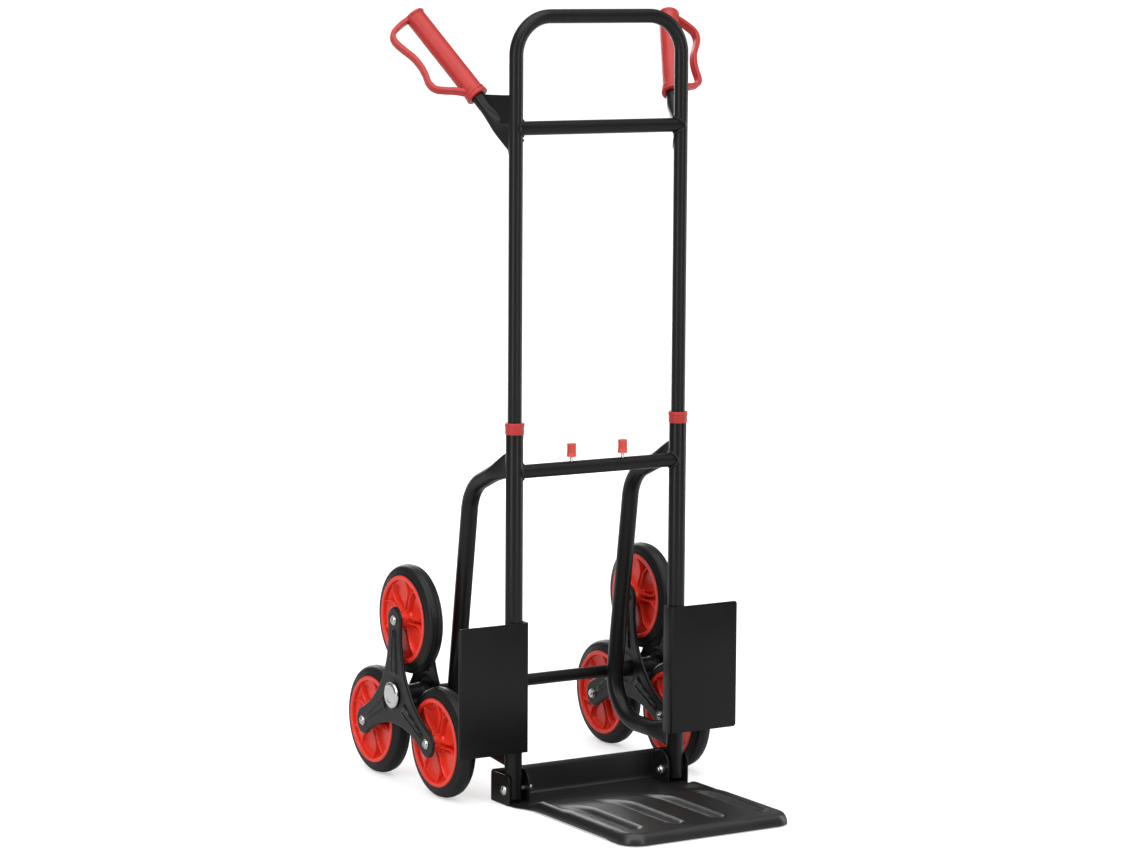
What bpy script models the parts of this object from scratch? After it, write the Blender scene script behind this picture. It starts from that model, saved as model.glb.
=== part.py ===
"""Stair climbing trolley: a folding-toe hand truck on two three-wheel stars, in metres, +Z up.

The load stands on the toe plate at -Y, the stars turn on the axle at +Y, and X is left to right.
Each sub-part is one named object. Driving dimensions come first, and everything else follows.
"""

import math

import bmesh
import bpy
from mathutils import Matrix, Vector

COLLECTION_NAME = "stair_climbing_trolley"
CUTTER_COLLECTION_NAME = "cutters"
GAP = 0.0003  # clearance between pieces that touch or are welded in the real trolley
SIDES = (("left", -1), ("right", 1))

# Wheels and stars
WHEEL_RADIUS = 0.080
TYRE_WIDTH = 0.030
RIM_RADIUS = 0.0645
RIM_HUB_RADIUS = 0.014
STAR_ARM = 0.110
STAR_MID_X = 0.2005
BRACKET_SPREAD = 0.056  # between the middles of a star's two bracket sheets
BRACKET_SHEET = 0.003
BRACKET_END_RADIUS = 0.0205
BRACKET_WAIST = 0.0435  # from the star's centre to its concave edges
BRACKET_BORE = 0.0114
WHEEL_BOLT_RADIUS = 0.004
WHEEL_BOLT_HEAD_RADIUS = 0.007
WHEEL_BOLT_HEAD_LENGTH = 0.005

# Axle
AXLE_BEHIND_UPRIGHTS = 0.187
AXLE_RADIUS = 0.009
AXLE_HALF_LENGTH = 0.2335
JOURNAL_RADIUS = 0.007
JOURNAL_START_X = 0.158
HUB_NECK_RADIUS = 0.011
HUB_BODY_RADIUS = 0.015
HUB_CAP_RADIUS = 0.0195
HUB_CAP_DEPTH = 0.0055

# Uprights and lower frame
UPRIGHT_X = 0.1375
LOWER_TUBE_RADIUS = 0.0125
LOWER_TUBE_WALL = 0.0015
LOWER_TUBE_BOTTOM_Z = 0.0092
LOWER_TUBE_TOP_Z = 0.541
COLLAR_RADIUS = 0.014
COLLAR_BOTTOM_Z = 0.533
COLLAR_TOP_Z = 0.5495
CROSSBAR_RADIUS = 0.010
CROSSBAR_WALL = 0.0015
CROSSBAR_END_HALF_HEIGHT = 0.0145
CROSSBAR_END_HALF_DEPTH = 0.0058
CROSSBAR_FLARE = 0.022
MIDDLE_CROSSBAR_Z = 0.479
LOOP_RAKE = math.radians(8.2)  # lean of the loops' rear run from the vertical
LOOP_TOP_SLOPE = math.radians(22.8)
LOOP_TOP_Z = 0.489
LOOP_TOP_BEND = 0.060
LOOP_LOWER_BEND = 0.065
LOOP_END_HALF_HEIGHT = 0.0175
LOOP_END_HALF_DEPTH = 0.0065
LOOP_FLARE = 0.050

# Guard plates
GUARD_INNER_X = 0.1210
GUARD_OUTER_X = 0.2350
GUARD_BOTTOM_Z = 0.077
GUARD_TOP_Z = 0.2645
GUARD_SHEET = 0.002
GUARD_FLANGE_DEPTH = 0.022
GUARD_CORNER = 0.004

# Telescopic handle frame
UPPER_TUBE_RADIUS = 0.010
UPPER_TUBE_WALL = 0.0012
UPPER_TUBE_BOTTOM_Z = 0.437
TOP_BAR_Z = 1.119
TOP_BEND = 0.055
UPPER_CROSSBAR_Z = 0.9635
GUIDE_RADIUS = 0.0106
GUIDE_LENGTH = 0.014

# Handles: the right grip's axis, from the grip's lower end
GRIP_START = Vector((0.1635, 0.0609, 1.0057))
GRIP_AXIS = Vector((0.333, 0.601, 0.726)).normalized()
GUARD_STRAP_SIDE = Vector((0.920, -0.040, -0.390))
GRIP_LENGTH = 0.156
GRIP_RADIUS = 0.0145
GRIP_COLLAR_RADIUS = 0.0165
GRIP_BORE = 0.0104
HANDLE_TUBE_FOOT = -0.090
HANDLE_TUBE_ROUND = -0.030
HANDLE_TUBE_TOP = 0.148
STRAP_HALF_THICKNESS = 0.0034
STRAP_HALF_WIDTH = 0.0065
# Outline of the finger guard: (along the grip, out from its axis)
STRAP_PATH = (
    (0.010, 0.008), (0.0225, 0.0225), (0.032, 0.039), (0.042, 0.0495), (0.054, 0.0515), (0.066, 0.0480),
    (0.080, 0.0455), (0.096, 0.0460), (0.112, 0.0500), (0.127, 0.0530), (0.140, 0.0490), (0.1485, 0.0330),
    (0.1530, 0.0080),
)

# Latch
KNOB_X = 0.043
KNOB_RADIUS = 0.0068
KNOB_BOTTOM_Z = 0.4952
KNOB_TOP_Z = 0.5145
LATCH_PIN_RADIUS = 0.003
LATCH_STEM_RADIUS = 0.0025
LATCH_PIN_INNER_X = 0.033
SLOT_INNER_X = 0.023
SLOT_OUTER_X = 0.050
SLOT_HALF_WIDTH = 0.0033

# Folding toe plate; "ahead" is the distance in front of the uprights' axes
TOE_CHEEK_HALF_WIDTH = 0.1518
TOE_WAIST_HALF_WIDTH = 0.1385
TOE_WAIST_AHEAD = 0.062
TOE_FRONT = 0.309
TOE_CORNER = 0.030
TOE_SHEET = 0.002
TOE_ROLL = 0.011
TOE_REAR_BEHIND = 0.0355
TOE_REAR_TOP_Z = 0.0035
TOE_FRONT_TOP_Z = 0.0178
TOE_PAN_AHEAD = 0.022  # the flat pan between the cheeks ends here
TOE_RISE_AHEAD = 0.150  # and the deck has risen to its full height here
TOE_RIM_WIDTH = 0.020  # raised margin along each side
TOE_EDGE_Z = 0.0016
TOE_BACK_LIP_Z = 0.046
CHEEK_X = 0.1514  # middle of the outer cheeks' sheet
CHEEK_AHEAD = 0.0145
CHEEK_BEHIND = 0.0375
CHEEK_TOP_Z = 0.0445
CHEEK_BOTTOM_Z = 0.0003
CHEEK_CORNER = 0.011
INNER_CHEEK_X = 0.1185
INNER_CHEEK_TOP_Z = 0.0500
INNER_CHEEK_BEHIND = 0.030
INNER_CHEEK_CORNER = 0.020
BEAD_XS = (-0.104, -0.035, 0.035, 0.104)
BEAD_HALF_WIDTH = 0.014
BEAD_DEPTH = 0.0065
BEAD_START = 0.040
BEAD_END = 0.276
BEAD_FADE = 0.110  # the channels deepen over this length from their start
BEAD_NOSE = 0.014  # and end in noses of this length
PIVOT_Z = 0.022
PIVOT_RADIUS = 0.004
PIVOT_HEAD_RADIUS = 0.0068

# The origin is the middle of the footprint, so the uprights stand a little ahead of it.
STAR_REACH = STAR_ARM * math.cos(math.radians(30)) + WHEEL_RADIUS
UPRIGHT_Y = (TOE_FRONT - AXLE_BEHIND_UPRIGHTS - STAR_REACH) / 2
AXLE_Y = UPRIGHT_Y + AXLE_BEHIND_UPRIGHTS
AXLE_Z = STAR_ARM * math.sin(math.radians(30)) + WHEEL_RADIUS
WHEEL_ANGLES = (("top", 90.0), ("rear", 330.0), ("front", 210.0))

X_AXIS = Vector((1, 0, 0))
Z_AXIS = Vector((0, 0, 1))


# ---------------------------------------------------------------- scene and materials


def start_scene():
    """Clears the scene and returns the collections for the parts and for the cutters."""
    for old in list(bpy.data.objects):
        bpy.data.objects.remove(old, do_unlink=True)
    made = []
    for name in (COLLECTION_NAME, CUTTER_COLLECTION_NAME):
        collection = bpy.data.collections.new(name)
        bpy.context.scene.collection.children.link(collection)
        made.append(collection)
    return made


PARTS, CUTTERS = start_scene()


def principled(name, color, roughness, metallic=0.0):
    material = bpy.data.materials.new(name)
    material.use_nodes = True
    shader = material.node_tree.nodes["Principled BSDF"]
    shader.inputs["Base Color"].default_value = (*color, 1.0)
    shader.inputs["Roughness"].default_value = roughness
    shader.inputs["Metallic"].default_value = metallic
    return material


BLACK_PAINT = principled("black_powder_coat", (0.018, 0.019, 0.018), 0.42)
BLACK_TYRE = principled("black_tyre_rubber", (0.015, 0.015, 0.015), 0.62)
RED_GRIP = principled("red_grip_plastic", (0.56, 0.047, 0.040), 0.40)
RED_RIM = principled("red_rim_plastic", (0.76, 0.030, 0.014), 0.34)
ZINC = principled("zinc_plated_steel", (0.66, 0.66, 0.64), 0.28, 1.0)
CHROME = principled("chrome_cap", (0.80, 0.80, 0.80), 0.12, 1.0)
BLACK_PLASTIC = principled("black_plastic", (0.020, 0.020, 0.020), 0.50)


# ---------------------------------------------------------------- making objects


def add_object(name, mesh, material):
    part = bpy.data.objects.new(name, mesh)
    PARTS.objects.link(part)
    part.data.materials.append(material)
    return part


def add_cutter(name, mesh):
    cutter = bpy.data.objects.new(name, mesh)
    CUTTERS.objects.link(cutter)
    cutter.hide_render = True
    cutter.display_type = "WIRE"
    return cutter


def mesh_of(build, name):
    """A new mesh made by build(bmesh), with its normals pointing out."""
    shape = bmesh.new()
    build(shape)
    bmesh.ops.recalc_face_normals(shape, faces=shape.faces)
    mesh = bpy.data.meshes.new(name)
    shape.to_mesh(mesh)
    shape.free()
    return mesh


def smooth(part, angle=35):
    part.data.shade_smooth()
    part.data.set_sharp_from_angle(angle=math.radians(angle))
    return part


def cylinder_mesh(name, radius, start, end, sides=20):
    """A closed cylinder between two points."""
    start, end = Vector(start), Vector(end)
    along = end - start
    turn = Z_AXIS.rotation_difference(along.normalized()).to_matrix().to_4x4()
    place = Matrix.Translation((start + end) / 2) @ turn

    def build(shape):
        bmesh.ops.create_cone(
            shape, cap_ends=True, segments=sides, radius1=radius, radius2=radius,
            depth=along.length, matrix=place,
        )

    return mesh_of(build, name)


def box_mesh(name, low, high):
    size = [high[i] - low[i] for i in range(3)]
    middle = [(high[i] + low[i]) / 2 for i in range(3)]

    def build(shape):
        bmesh.ops.create_cube(shape, size=1, matrix=Matrix.LocRotScale(middle, None, size))

    return mesh_of(build, name)


def loft_mesh(name, rings, capped):
    """Skins rings of equally many points, with flat caps or open ends."""

    def build(shape):
        loops = [[shape.verts.new(point) for point in ring] for ring in rings]
        count = len(loops[0])
        for first, second in zip(loops, loops[1:]):
            for i in range(count):
                j = (i + 1) % count
                shape.faces.new((first[i], first[j], second[j], second[i]))
        if capped:
            shape.faces.new(loops[0][::-1])
            shape.faces.new(loops[-1])

    return mesh_of(build, name)


def turned_mesh(name, profile, steps, start=None, along=None):
    """A closed turned body: profile is a loop of (radius, distance along the axis)."""
    scratch = bpy.data.meshes.new(name)
    points = [(radius, 0.0, height) for radius, height in profile]
    count = len(points)
    on_axis = profile[0][0] == 0.0
    edges = [(i, i + 1) for i in range(count - 1)] + ([] if on_axis else [(count - 1, 0)])
    scratch.from_pydata(points, edges, [])
    holder = bpy.data.objects.new(name, scratch)
    PARTS.objects.link(holder)
    screw = holder.modifiers.new("turn", "SCREW")
    screw.steps = steps
    screw.render_steps = steps
    screw.use_merge_vertices = True
    screw.merge_threshold = 0.00001
    mesh = baked(holder)
    turn = Matrix.Identity(4)
    if along is not None:
        turn = Z_AXIS.rotation_difference(Vector(along).normalized()).to_matrix().to_4x4()
    mesh.transform(Matrix.Translation(Vector(start or (0, 0, 0))) @ turn)
    shape = bmesh.new()
    shape.from_mesh(mesh)
    bmesh.ops.recalc_face_normals(shape, faces=shape.faces)
    shape.to_mesh(mesh)
    shape.free()
    return mesh


def baked(part):
    """The part's evaluated mesh, with the part itself removed."""
    bpy.context.view_layer.update()
    graph = bpy.context.evaluated_depsgraph_get()
    mesh = bpy.data.meshes.new_from_object(part.evaluated_get(graph))
    name = part.name
    bpy.data.objects.remove(part, do_unlink=True)
    mesh.name = name
    return mesh


def tube_mesh(name, points, radius, wall, bevel_resolution=6):
    """A hollow tube along points, open at both ends."""
    curve = bpy.data.curves.new(name, "CURVE")
    curve.dimensions = "3D"
    curve.bevel_depth = radius
    curve.bevel_resolution = bevel_resolution
    spline = curve.splines.new("POLY")
    spline.points.add(len(points) - 1)
    for target, point in zip(spline.points, points):
        target.co = (*point, 1.0)
    holder = bpy.data.objects.new(name, curve)
    PARTS.objects.link(holder)
    return thickened(baked(holder), wall)


def thickened(mesh, wall):
    """The open surface made a closed shell of this wall, inwards."""
    shape = bmesh.new()
    shape.from_mesh(mesh)
    bmesh.ops.recalc_face_normals(shape, faces=shape.faces)
    shape.to_mesh(mesh)
    shape.free()
    holder = bpy.data.objects.new(mesh.name, mesh)
    PARTS.objects.link(holder)
    solidify = holder.modifiers.new("wall", "SOLIDIFY")
    solidify.thickness = wall
    solidify.offset = -1
    solidify.use_even_offset = True
    return baked(holder)


def outline_mesh(name, points, thickness):
    """A flat plate in the XY plane, from a closed outline, centred on z = 0."""
    curve = bpy.data.curves.new(name, "CURVE")
    curve.dimensions = "2D"
    curve.fill_mode = "BOTH"
    curve.extrude = thickness / 2
    spline = curve.splines.new("POLY")
    spline.points.add(len(points) - 1)
    for target, point in zip(spline.points, points):
        target.co = (point[0], point[1], 0.0, 1.0)
    spline.use_cyclic_u = True
    holder = bpy.data.objects.new(name, curve)
    PARTS.objects.link(holder)
    mesh = baked(holder)
    shape = bmesh.new()
    shape.from_mesh(mesh)
    bmesh.ops.remove_doubles(shape, verts=shape.verts, dist=0.000001)
    bmesh.ops.recalc_face_normals(shape, faces=shape.faces)
    shape.to_mesh(mesh)
    shape.free()
    return mesh


def boolean(part, other, operation):
    modifier = part.modifiers.new(operation.lower(), "BOOLEAN")
    modifier.object = other
    modifier.operation = operation
    modifier.solver = "EXACT"
    return part


# ---------------------------------------------------------------- paths and sections


def arc(center, radius, first, last, steps):
    """Points of an arc in a plane; angles in degrees, both ends included."""
    points = []
    for step in range(steps + 1):
        angle = math.radians(first + (last - first) * step / steps)
        points.append((center[0] + radius * math.cos(angle), center[1] + radius * math.sin(angle)))
    return points


def rounded_path(corners, radii, steps):
    """A polyline through corners, with each inner corner turned on an arc of its radius."""
    corners = [Vector(corner) for corner in corners]
    path = [corners[0]]
    for before, corner, after, radius in zip(corners, corners[1:], corners[2:], radii):
        back = (before - corner).normalized()
        ahead = (after - corner).normalized()
        half = back.angle(ahead) / 2
        reach = radius / math.tan(half)
        center = corner + (back + ahead).normalized() * radius / math.sin(half)
        start, end = corner + back * reach - center, corner + ahead * reach - center
        turn = start.rotation_difference(end)
        for step in range(steps + 1):
            path.append(center + Matrix.Rotation(turn.angle * step / steps, 3, turn.axis) @ start)
    path.append(corners[-1])
    return path


def subdivided(path, fractions):
    """Splits the path's last stretch at these fractions."""
    last, end = path[-2], path[-1]
    return path[:-1] + [last.lerp(end, fraction) for fraction in fractions] + [end]


def flared_rings(path, radius, wide, thin, flare, flat_normal, sides, ends):
    """Rings along a path: round, and flattened towards the ends named in ends.

    flat_normal is the direction that gets thinner; the ring widens across it.
    """
    lengths = [0.0]
    for first, second in zip(path, path[1:]):
        lengths.append(lengths[-1] + (second - first).length)
    total = lengths[-1]
    flat_normal = Vector(flat_normal).normalized()
    rings = []
    for index, point in enumerate(path):
        before = path[max(index - 1, 0)]
        after = path[min(index + 1, len(path) - 1)]
        tangent = (after - before).normalized()
        thin_axis = (flat_normal - tangent * flat_normal.dot(tangent)).normalized()
        wide_axis = tangent.cross(thin_axis)
        reach = []
        if "start" in ends:
            reach.append(lengths[index])
        if "end" in ends:
            reach.append(total - lengths[index])
        share = max(0.0, 1.0 - min(reach) / flare)
        share = share * share * (3 - 2 * share)
        half_wide = radius + (wide - radius) * share
        half_thin = radius + (thin - radius) * share
        ring = []
        for side in range(sides):
            angle = 2 * math.pi * side / sides
            ring.append(
                point + wide_axis * half_wide * math.cos(angle) + thin_axis * half_thin * math.sin(angle)
            )
        rings.append(ring)
    return rings


def place_in_side_plane(mesh, x):
    """Turns a plate drawn in (Y, Z) as XY into the plane of this X."""
    mesh.transform(Matrix(((0, 0, 1, x), (1, 0, 0, 0), (0, 1, 0, 0), (0, 0, 0, 1))))
    return mesh


# ---------------------------------------------------------------- lower frame


def lower_upright(side_name, side):
    x = side * UPRIGHT_X
    foot = Vector((x, UPRIGHT_Y, LOWER_TUBE_BOTTOM_Z))
    top = Vector((x, UPRIGHT_Y, LOWER_TUBE_TOP_Z))
    mesh = tube_mesh(f"{side_name}_lower_upright", (foot, top), LOWER_TUBE_RADIUS, LOWER_TUBE_WALL, 5)
    part = add_object(f"{side_name}_lower_upright", mesh, BLACK_PAINT)
    reach = LOWER_TUBE_RADIUS * 1.3
    pivot_hole = add_cutter(
        f"{side_name}_pivot_hole",
        cylinder_mesh(
            "pivot_hole", PIVOT_RADIUS + GAP, (x - reach, UPRIGHT_Y, PIVOT_Z),
            (x + reach, UPRIGHT_Y, PIVOT_Z), 12,
        ),
    )
    latch_hole = add_cutter(
        f"{side_name}_latch_hole",
        cylinder_mesh(
            "latch_hole", LATCH_PIN_RADIUS + GAP, (x - side * reach, UPRIGHT_Y, MIDDLE_CROSSBAR_Z),
            (x, UPRIGHT_Y, MIDDLE_CROSSBAR_Z), 12,
        ),
    )
    boolean(part, pivot_hole, "DIFFERENCE")
    boolean(part, latch_hole, "DIFFERENCE")
    return smooth(part)


def collar(side_name, side):
    seat_z = LOWER_TUBE_TOP_Z + GAP
    chamfer = 0.001
    sleeve_bore = LOWER_TUBE_RADIUS + GAP
    slide_bore = UPPER_TUBE_RADIUS + GAP
    profile = (
        (COLLAR_RADIUS - chamfer, COLLAR_TOP_Z),
        (COLLAR_RADIUS, COLLAR_TOP_Z - chamfer),
        (COLLAR_RADIUS, COLLAR_BOTTOM_Z),
        (sleeve_bore, COLLAR_BOTTOM_Z),
        (sleeve_bore, seat_z),
        (slide_bore, seat_z),
        (slide_bore, COLLAR_TOP_Z),
    )
    name = f"{side_name}_collar"
    mesh = turned_mesh(name, profile, 24, (side * UPRIGHT_X, UPRIGHT_Y, 0.0))
    return smooth(add_object(name, mesh, RED_GRIP))


def crossbar(name, z, tube_radius):
    """A bar between the uprights, with its ends flattened against them."""
    end_x = UPRIGHT_X - tube_radius - GAP
    stations = (0.0, 0.006, 0.014, CROSSBAR_FLARE)
    xs = [-end_x + step for step in stations] + [end_x - step for step in reversed(stations)]
    path = [Vector((x, UPRIGHT_Y, z)) for x in xs]
    rings = flared_rings(
        path, CROSSBAR_RADIUS, CROSSBAR_END_HALF_HEIGHT, CROSSBAR_END_HALF_DEPTH,
        CROSSBAR_FLARE, (0, 1, 0), 16, ("start", "end"),
    )
    mesh = thickened(loft_mesh(name, rings, capped=False), CROSSBAR_WALL)
    return smooth(add_object(name, mesh, BLACK_PAINT))


def middle_crossbar():
    part = crossbar("middle_crossbar", MIDDLE_CROSSBAR_Z, LOWER_TUBE_RADIUS)
    for side_name, side in SIDES:
        inner = side * SLOT_INNER_X
        outer = side * SLOT_OUTER_X
        low = (min(inner, outer), UPRIGHT_Y - SLOT_HALF_WIDTH, MIDDLE_CROSSBAR_Z + 0.002)
        high = (max(inner, outer), UPRIGHT_Y + SLOT_HALF_WIDTH, MIDDLE_CROSSBAR_Z + 0.014)
        slot = add_cutter(f"{side_name}_latch_slot", box_mesh("latch_slot", low, high))
        boolean(part, slot, "DIFFERENCE")
    return part


def loop_path(x):
    """Centre line of an axle loop: out of the upright, down to the axle and back to the upright."""
    face_y = UPRIGHT_Y + LOWER_TUBE_RADIUS + GAP
    bend_y = AXLE_Y - AXLE_RADIUS - GAP - LOWER_TUBE_RADIUS - LOOP_LOWER_BEND
    low_z = AXLE_Z - LOOP_LOWER_BEND
    low_corner_y = bend_y + LOOP_LOWER_BEND * math.tan((math.pi / 2 + LOOP_RAKE) / 2)
    rake = math.tan(LOOP_RAKE)
    slope = math.tan(LOOP_TOP_SLOPE)
    # Where the sloping top run, z = LOOP_TOP_Z - slope (y - face_y), meets the raked rear run.
    rise = (LOOP_TOP_Z - low_z - slope * (low_corner_y - face_y)) / (1 - slope * rake)
    top_corner = (x, low_corner_y - rake * rise, low_z + rise)
    inside = 0.0075  # both ends start inside the upright, and its clearance trims them
    corners = (
        (x, face_y - inside, LOOP_TOP_Z + slope * inside), top_corner,
        (x, low_corner_y, low_z), (x, face_y - inside, low_z),
    )
    path = rounded_path(corners, (LOOP_TOP_BEND, LOOP_LOWER_BEND), 5)
    path = subdivided(path, (0.45, 0.75))
    return subdivided(path[::-1], (0.5,))[::-1]


def axle_loop(side_name, side):
    name = f"{side_name}_axle_loop"
    rings = flared_rings(
        loop_path(side * UPRIGHT_X), LOWER_TUBE_RADIUS, LOOP_END_HALF_HEIGHT, LOOP_END_HALF_DEPTH,
        LOOP_FLARE, X_AXIS, 14, ("start", "end"),
    )
    mesh = thickened(loft_mesh(name, rings, capped=False), LOWER_TUBE_WALL)
    part = add_object(name, mesh, BLACK_PAINT)
    x = side * UPRIGHT_X
    clearance = cylinder_mesh(
        "clearance", LOWER_TUBE_RADIUS + GAP, (x, UPRIGHT_Y, 0.02), (x, UPRIGHT_Y, LOWER_TUBE_TOP_Z), 28
    )
    boolean(part, add_cutter(f"{side_name}_loop_clearance", clearance), "DIFFERENCE")
    return smooth(part)


def axle():
    half = AXLE_HALF_LENGTH
    shoulder = JOURNAL_START_X - GAP
    chamfer = 0.001
    profile = (
        (0.0, half), (JOURNAL_RADIUS - chamfer, half), (JOURNAL_RADIUS, half - chamfer),
        (JOURNAL_RADIUS, shoulder), (AXLE_RADIUS, shoulder),
        (AXLE_RADIUS, -shoulder), (JOURNAL_RADIUS, -shoulder),
        (JOURNAL_RADIUS, chamfer - half), (JOURNAL_RADIUS - chamfer, -half), (0.0, -half),
    )
    mesh = turned_mesh("axle", profile, 20, (0, AXLE_Y, AXLE_Z), X_AXIS)
    return smooth(add_object("axle", mesh, BLACK_PAINT))


def guard_plate(side_name, side):
    """A flat shield ahead of the star, with a return flange along the inboard edge."""
    name = f"{side_name}_guard_plate"
    back_y = UPRIGHT_Y - LOWER_TUBE_RADIUS - GAP
    front_y = back_y - GUARD_SHEET
    near, far, low, high, corner = GUARD_INNER_X, GUARD_OUTER_X, GUARD_BOTTOM_Z, GUARD_TOP_Z, GUARD_CORNER
    outline = [(near, low)]
    outline += arc((far - corner, low + corner), corner, -90, 0, 3)
    outline += arc((far - corner, high - corner), corner, 0, 90, 3)
    outline += [(near, high)]
    mesh = outline_mesh(name, [(side * x, z) for x, z in outline], GUARD_SHEET)
    stand_up = Matrix(((1, 0, 0, 0), (0, 0, 1, (back_y + front_y) / 2), (0, 1, 0, 0), (0, 0, 0, 1)))
    mesh.transform(stand_up)
    mesh = mesh_with_outward_normals(mesh)
    part = add_object(name, mesh, BLACK_PAINT)
    inner, outer = sorted((side * near, side * (near + GUARD_SHEET)))
    flange = add_cutter(
        f"{side_name}_guard_flange",
        box_mesh("guard_flange", (inner, front_y, low), (outer, front_y + GUARD_FLANGE_DEPTH, high)),
    )
    return boolean(part, flange, "UNION")


def mesh_with_outward_normals(mesh):
    shape = bmesh.new()
    shape.from_mesh(mesh)
    bmesh.ops.recalc_face_normals(shape, faces=shape.faces)
    shape.to_mesh(mesh)
    shape.free()
    return mesh


# ---------------------------------------------------------------- latch


def latch(side_name, side):
    """One spring-loaded latch: a rod inside the bar with an upright stem, and its thumb knob."""
    tip_x = side * (UPRIGHT_X - UPPER_TUBE_RADIUS - GAP)
    stem_x = side * KNOB_X
    rod = cylinder_mesh(
        "rod", LATCH_PIN_RADIUS, (side * LATCH_PIN_INNER_X, UPRIGHT_Y, MIDDLE_CROSSBAR_Z),
        (tip_x, UPRIGHT_Y, MIDDLE_CROSSBAR_Z), 12,
    )
    part = add_object(f"{side_name}_latch_pin", rod, ZINC)
    stem = add_cutter(
        f"{side_name}_latch_stem",
        cylinder_mesh(
            "latch_stem", LATCH_STEM_RADIUS, (stem_x, UPRIGHT_Y, MIDDLE_CROSSBAR_Z),
            (stem_x, UPRIGHT_Y, KNOB_BOTTOM_Z - GAP), 12,
        ),
    )
    boolean(part, stem, "UNION")
    smooth(part)
    edge = 0.0015
    foot = 0.0008
    profile = (
        (0.0, KNOB_TOP_Z), (KNOB_RADIUS - edge, KNOB_TOP_Z), (KNOB_RADIUS, KNOB_TOP_Z - edge),
        (KNOB_RADIUS, KNOB_BOTTOM_Z + edge), (KNOB_RADIUS + foot, KNOB_BOTTOM_Z + foot),
        (KNOB_RADIUS + foot, KNOB_BOTTOM_Z), (0.0, KNOB_BOTTOM_Z),
    )
    name = f"{side_name}_latch_knob"
    knob = turned_mesh(name, profile, 20, (stem_x, UPRIGHT_Y, 0.0))
    smooth(add_object(name, knob, RED_GRIP))


# ---------------------------------------------------------------- telescopic handle frame


def handle_frame():
    corners = (
        (-UPRIGHT_X, UPRIGHT_Y, UPPER_TUBE_BOTTOM_Z), (-UPRIGHT_X, UPRIGHT_Y, TOP_BAR_Z),
        (UPRIGHT_X, UPRIGHT_Y, TOP_BAR_Z), (UPRIGHT_X, UPRIGHT_Y, UPPER_TUBE_BOTTOM_Z),
    )
    path = rounded_path(corners, (TOP_BEND, TOP_BEND), 6)
    mesh = tube_mesh("handle_frame", path, UPPER_TUBE_RADIUS, UPPER_TUBE_WALL, 4)
    return smooth(add_object("handle_frame", mesh, BLACK_PAINT))


def tube_guide(side_name, side):
    """The slide bush plugged into the bottom of an inner tube."""
    name = f"{side_name}_tube_guide"
    neck = UPPER_TUBE_RADIUS - UPPER_TUBE_WALL - 2 * GAP
    under = UPPER_TUBE_BOTTOM_Z - GAP
    profile = (
        (0.0, under + GUIDE_LENGTH), (neck, under + GUIDE_LENGTH), (neck, under),
        (GUIDE_RADIUS, under), (GUIDE_RADIUS, under - GUIDE_LENGTH / 2), (0.0, under - GUIDE_LENGTH / 2),
    )
    mesh = turned_mesh(name, profile, 16, (side * UPRIGHT_X, UPRIGHT_Y, 0.0))
    return smooth(add_object(name, mesh, BLACK_PLASTIC))


def handle_basis(side):
    """The grip's lower end and its axes: across the guard, out to the guard, along the grip."""
    mirror = Vector((side, 1, 1))
    start = (GRIP_START + Vector((0, UPRIGHT_Y, 0))) * mirror
    along = GRIP_AXIS * mirror
    out = GUARD_STRAP_SIDE * mirror
    out = (out - along * out.dot(along)).normalized()
    across = out.cross(along)
    return start, across, out, along


def handle_tube(side_name, side):
    """A round tube from the grip to the upright, flattened where it is welded on."""
    start, _, _, along = handle_basis(side)
    thin = along.cross(Z_AXIS).normalized()
    stations = (HANDLE_TUBE_FOOT, -0.075, -0.060, -0.045, HANDLE_TUBE_ROUND, HANDLE_TUBE_TOP)
    path = [start + along * station for station in stations]
    rings = flared_rings(
        path, UPPER_TUBE_RADIUS, 0.0140, 0.0055, HANDLE_TUBE_ROUND - HANDLE_TUBE_FOOT, thin, 16, ("start",)
    )
    name = f"{side_name}_handle_tube"
    mesh = thickened(loft_mesh(name, rings, capped=False), UPPER_TUBE_WALL)
    part = add_object(name, mesh, BLACK_PAINT)
    boolean(part, upright_clearance(side_name, side), "DIFFERENCE")
    return smooth(part)


def upright_clearance(side_name, side):
    """A cutter the size of the upright tube and its weld gap."""
    name = f"{side_name}_upright_clearance"
    if name in CUTTERS.objects:
        return CUTTERS.objects[name]
    x = side * UPRIGHT_X
    mesh = cylinder_mesh(name, UPPER_TUBE_RADIUS + GAP, (x, UPRIGHT_Y, 0.88), (x, UPRIGHT_Y, 1.05), 24)
    return add_cutter(name, mesh)


def handle_gusset(side_name, side):
    """The flat web plate that ties the handle tube to the upright."""
    start, _, _, along = handle_basis(side)
    foot = Vector((side * UPRIGHT_X, UPRIGHT_Y, 0.0))
    top_z, low_z, tip_z, sheet = 1.0095, 0.9755, 0.9700, 0.0025
    web = 2 * GAP

    def tube_distance(z, clearance):
        """Distance from the upright's axis to the handle tube's near side at this height."""
        point = start + along * ((z - start.z) / along.z)
        level = (point - foot).to_2d().length
        return level - clearance / along.z

    near = UPPER_TUBE_RADIUS + web
    outline = [
        (near, top_z), (tube_distance(top_z, UPPER_TUBE_RADIUS + web), top_z),
        (tube_distance(low_z, 0.0135), low_z), (near, tip_z),
    ]
    name = f"{side_name}_handle_gusset"
    mesh = outline_mesh(name, outline, sheet)
    mid = start + along * ((0.5 * (top_z + low_z) - start.z) / along.z)
    level = (mid - foot).to_2d().normalized()
    across = Vector((-level.y, level.x))
    mesh.transform(Matrix((
        (level.x, 0, across.x, foot.x), (level.y, 0, across.y, foot.y), (0, 1, 0, 0), (0, 0, 0, 1),
    )))
    return add_object(name, mesh_with_outward_normals(mesh), BLACK_PAINT)


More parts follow.
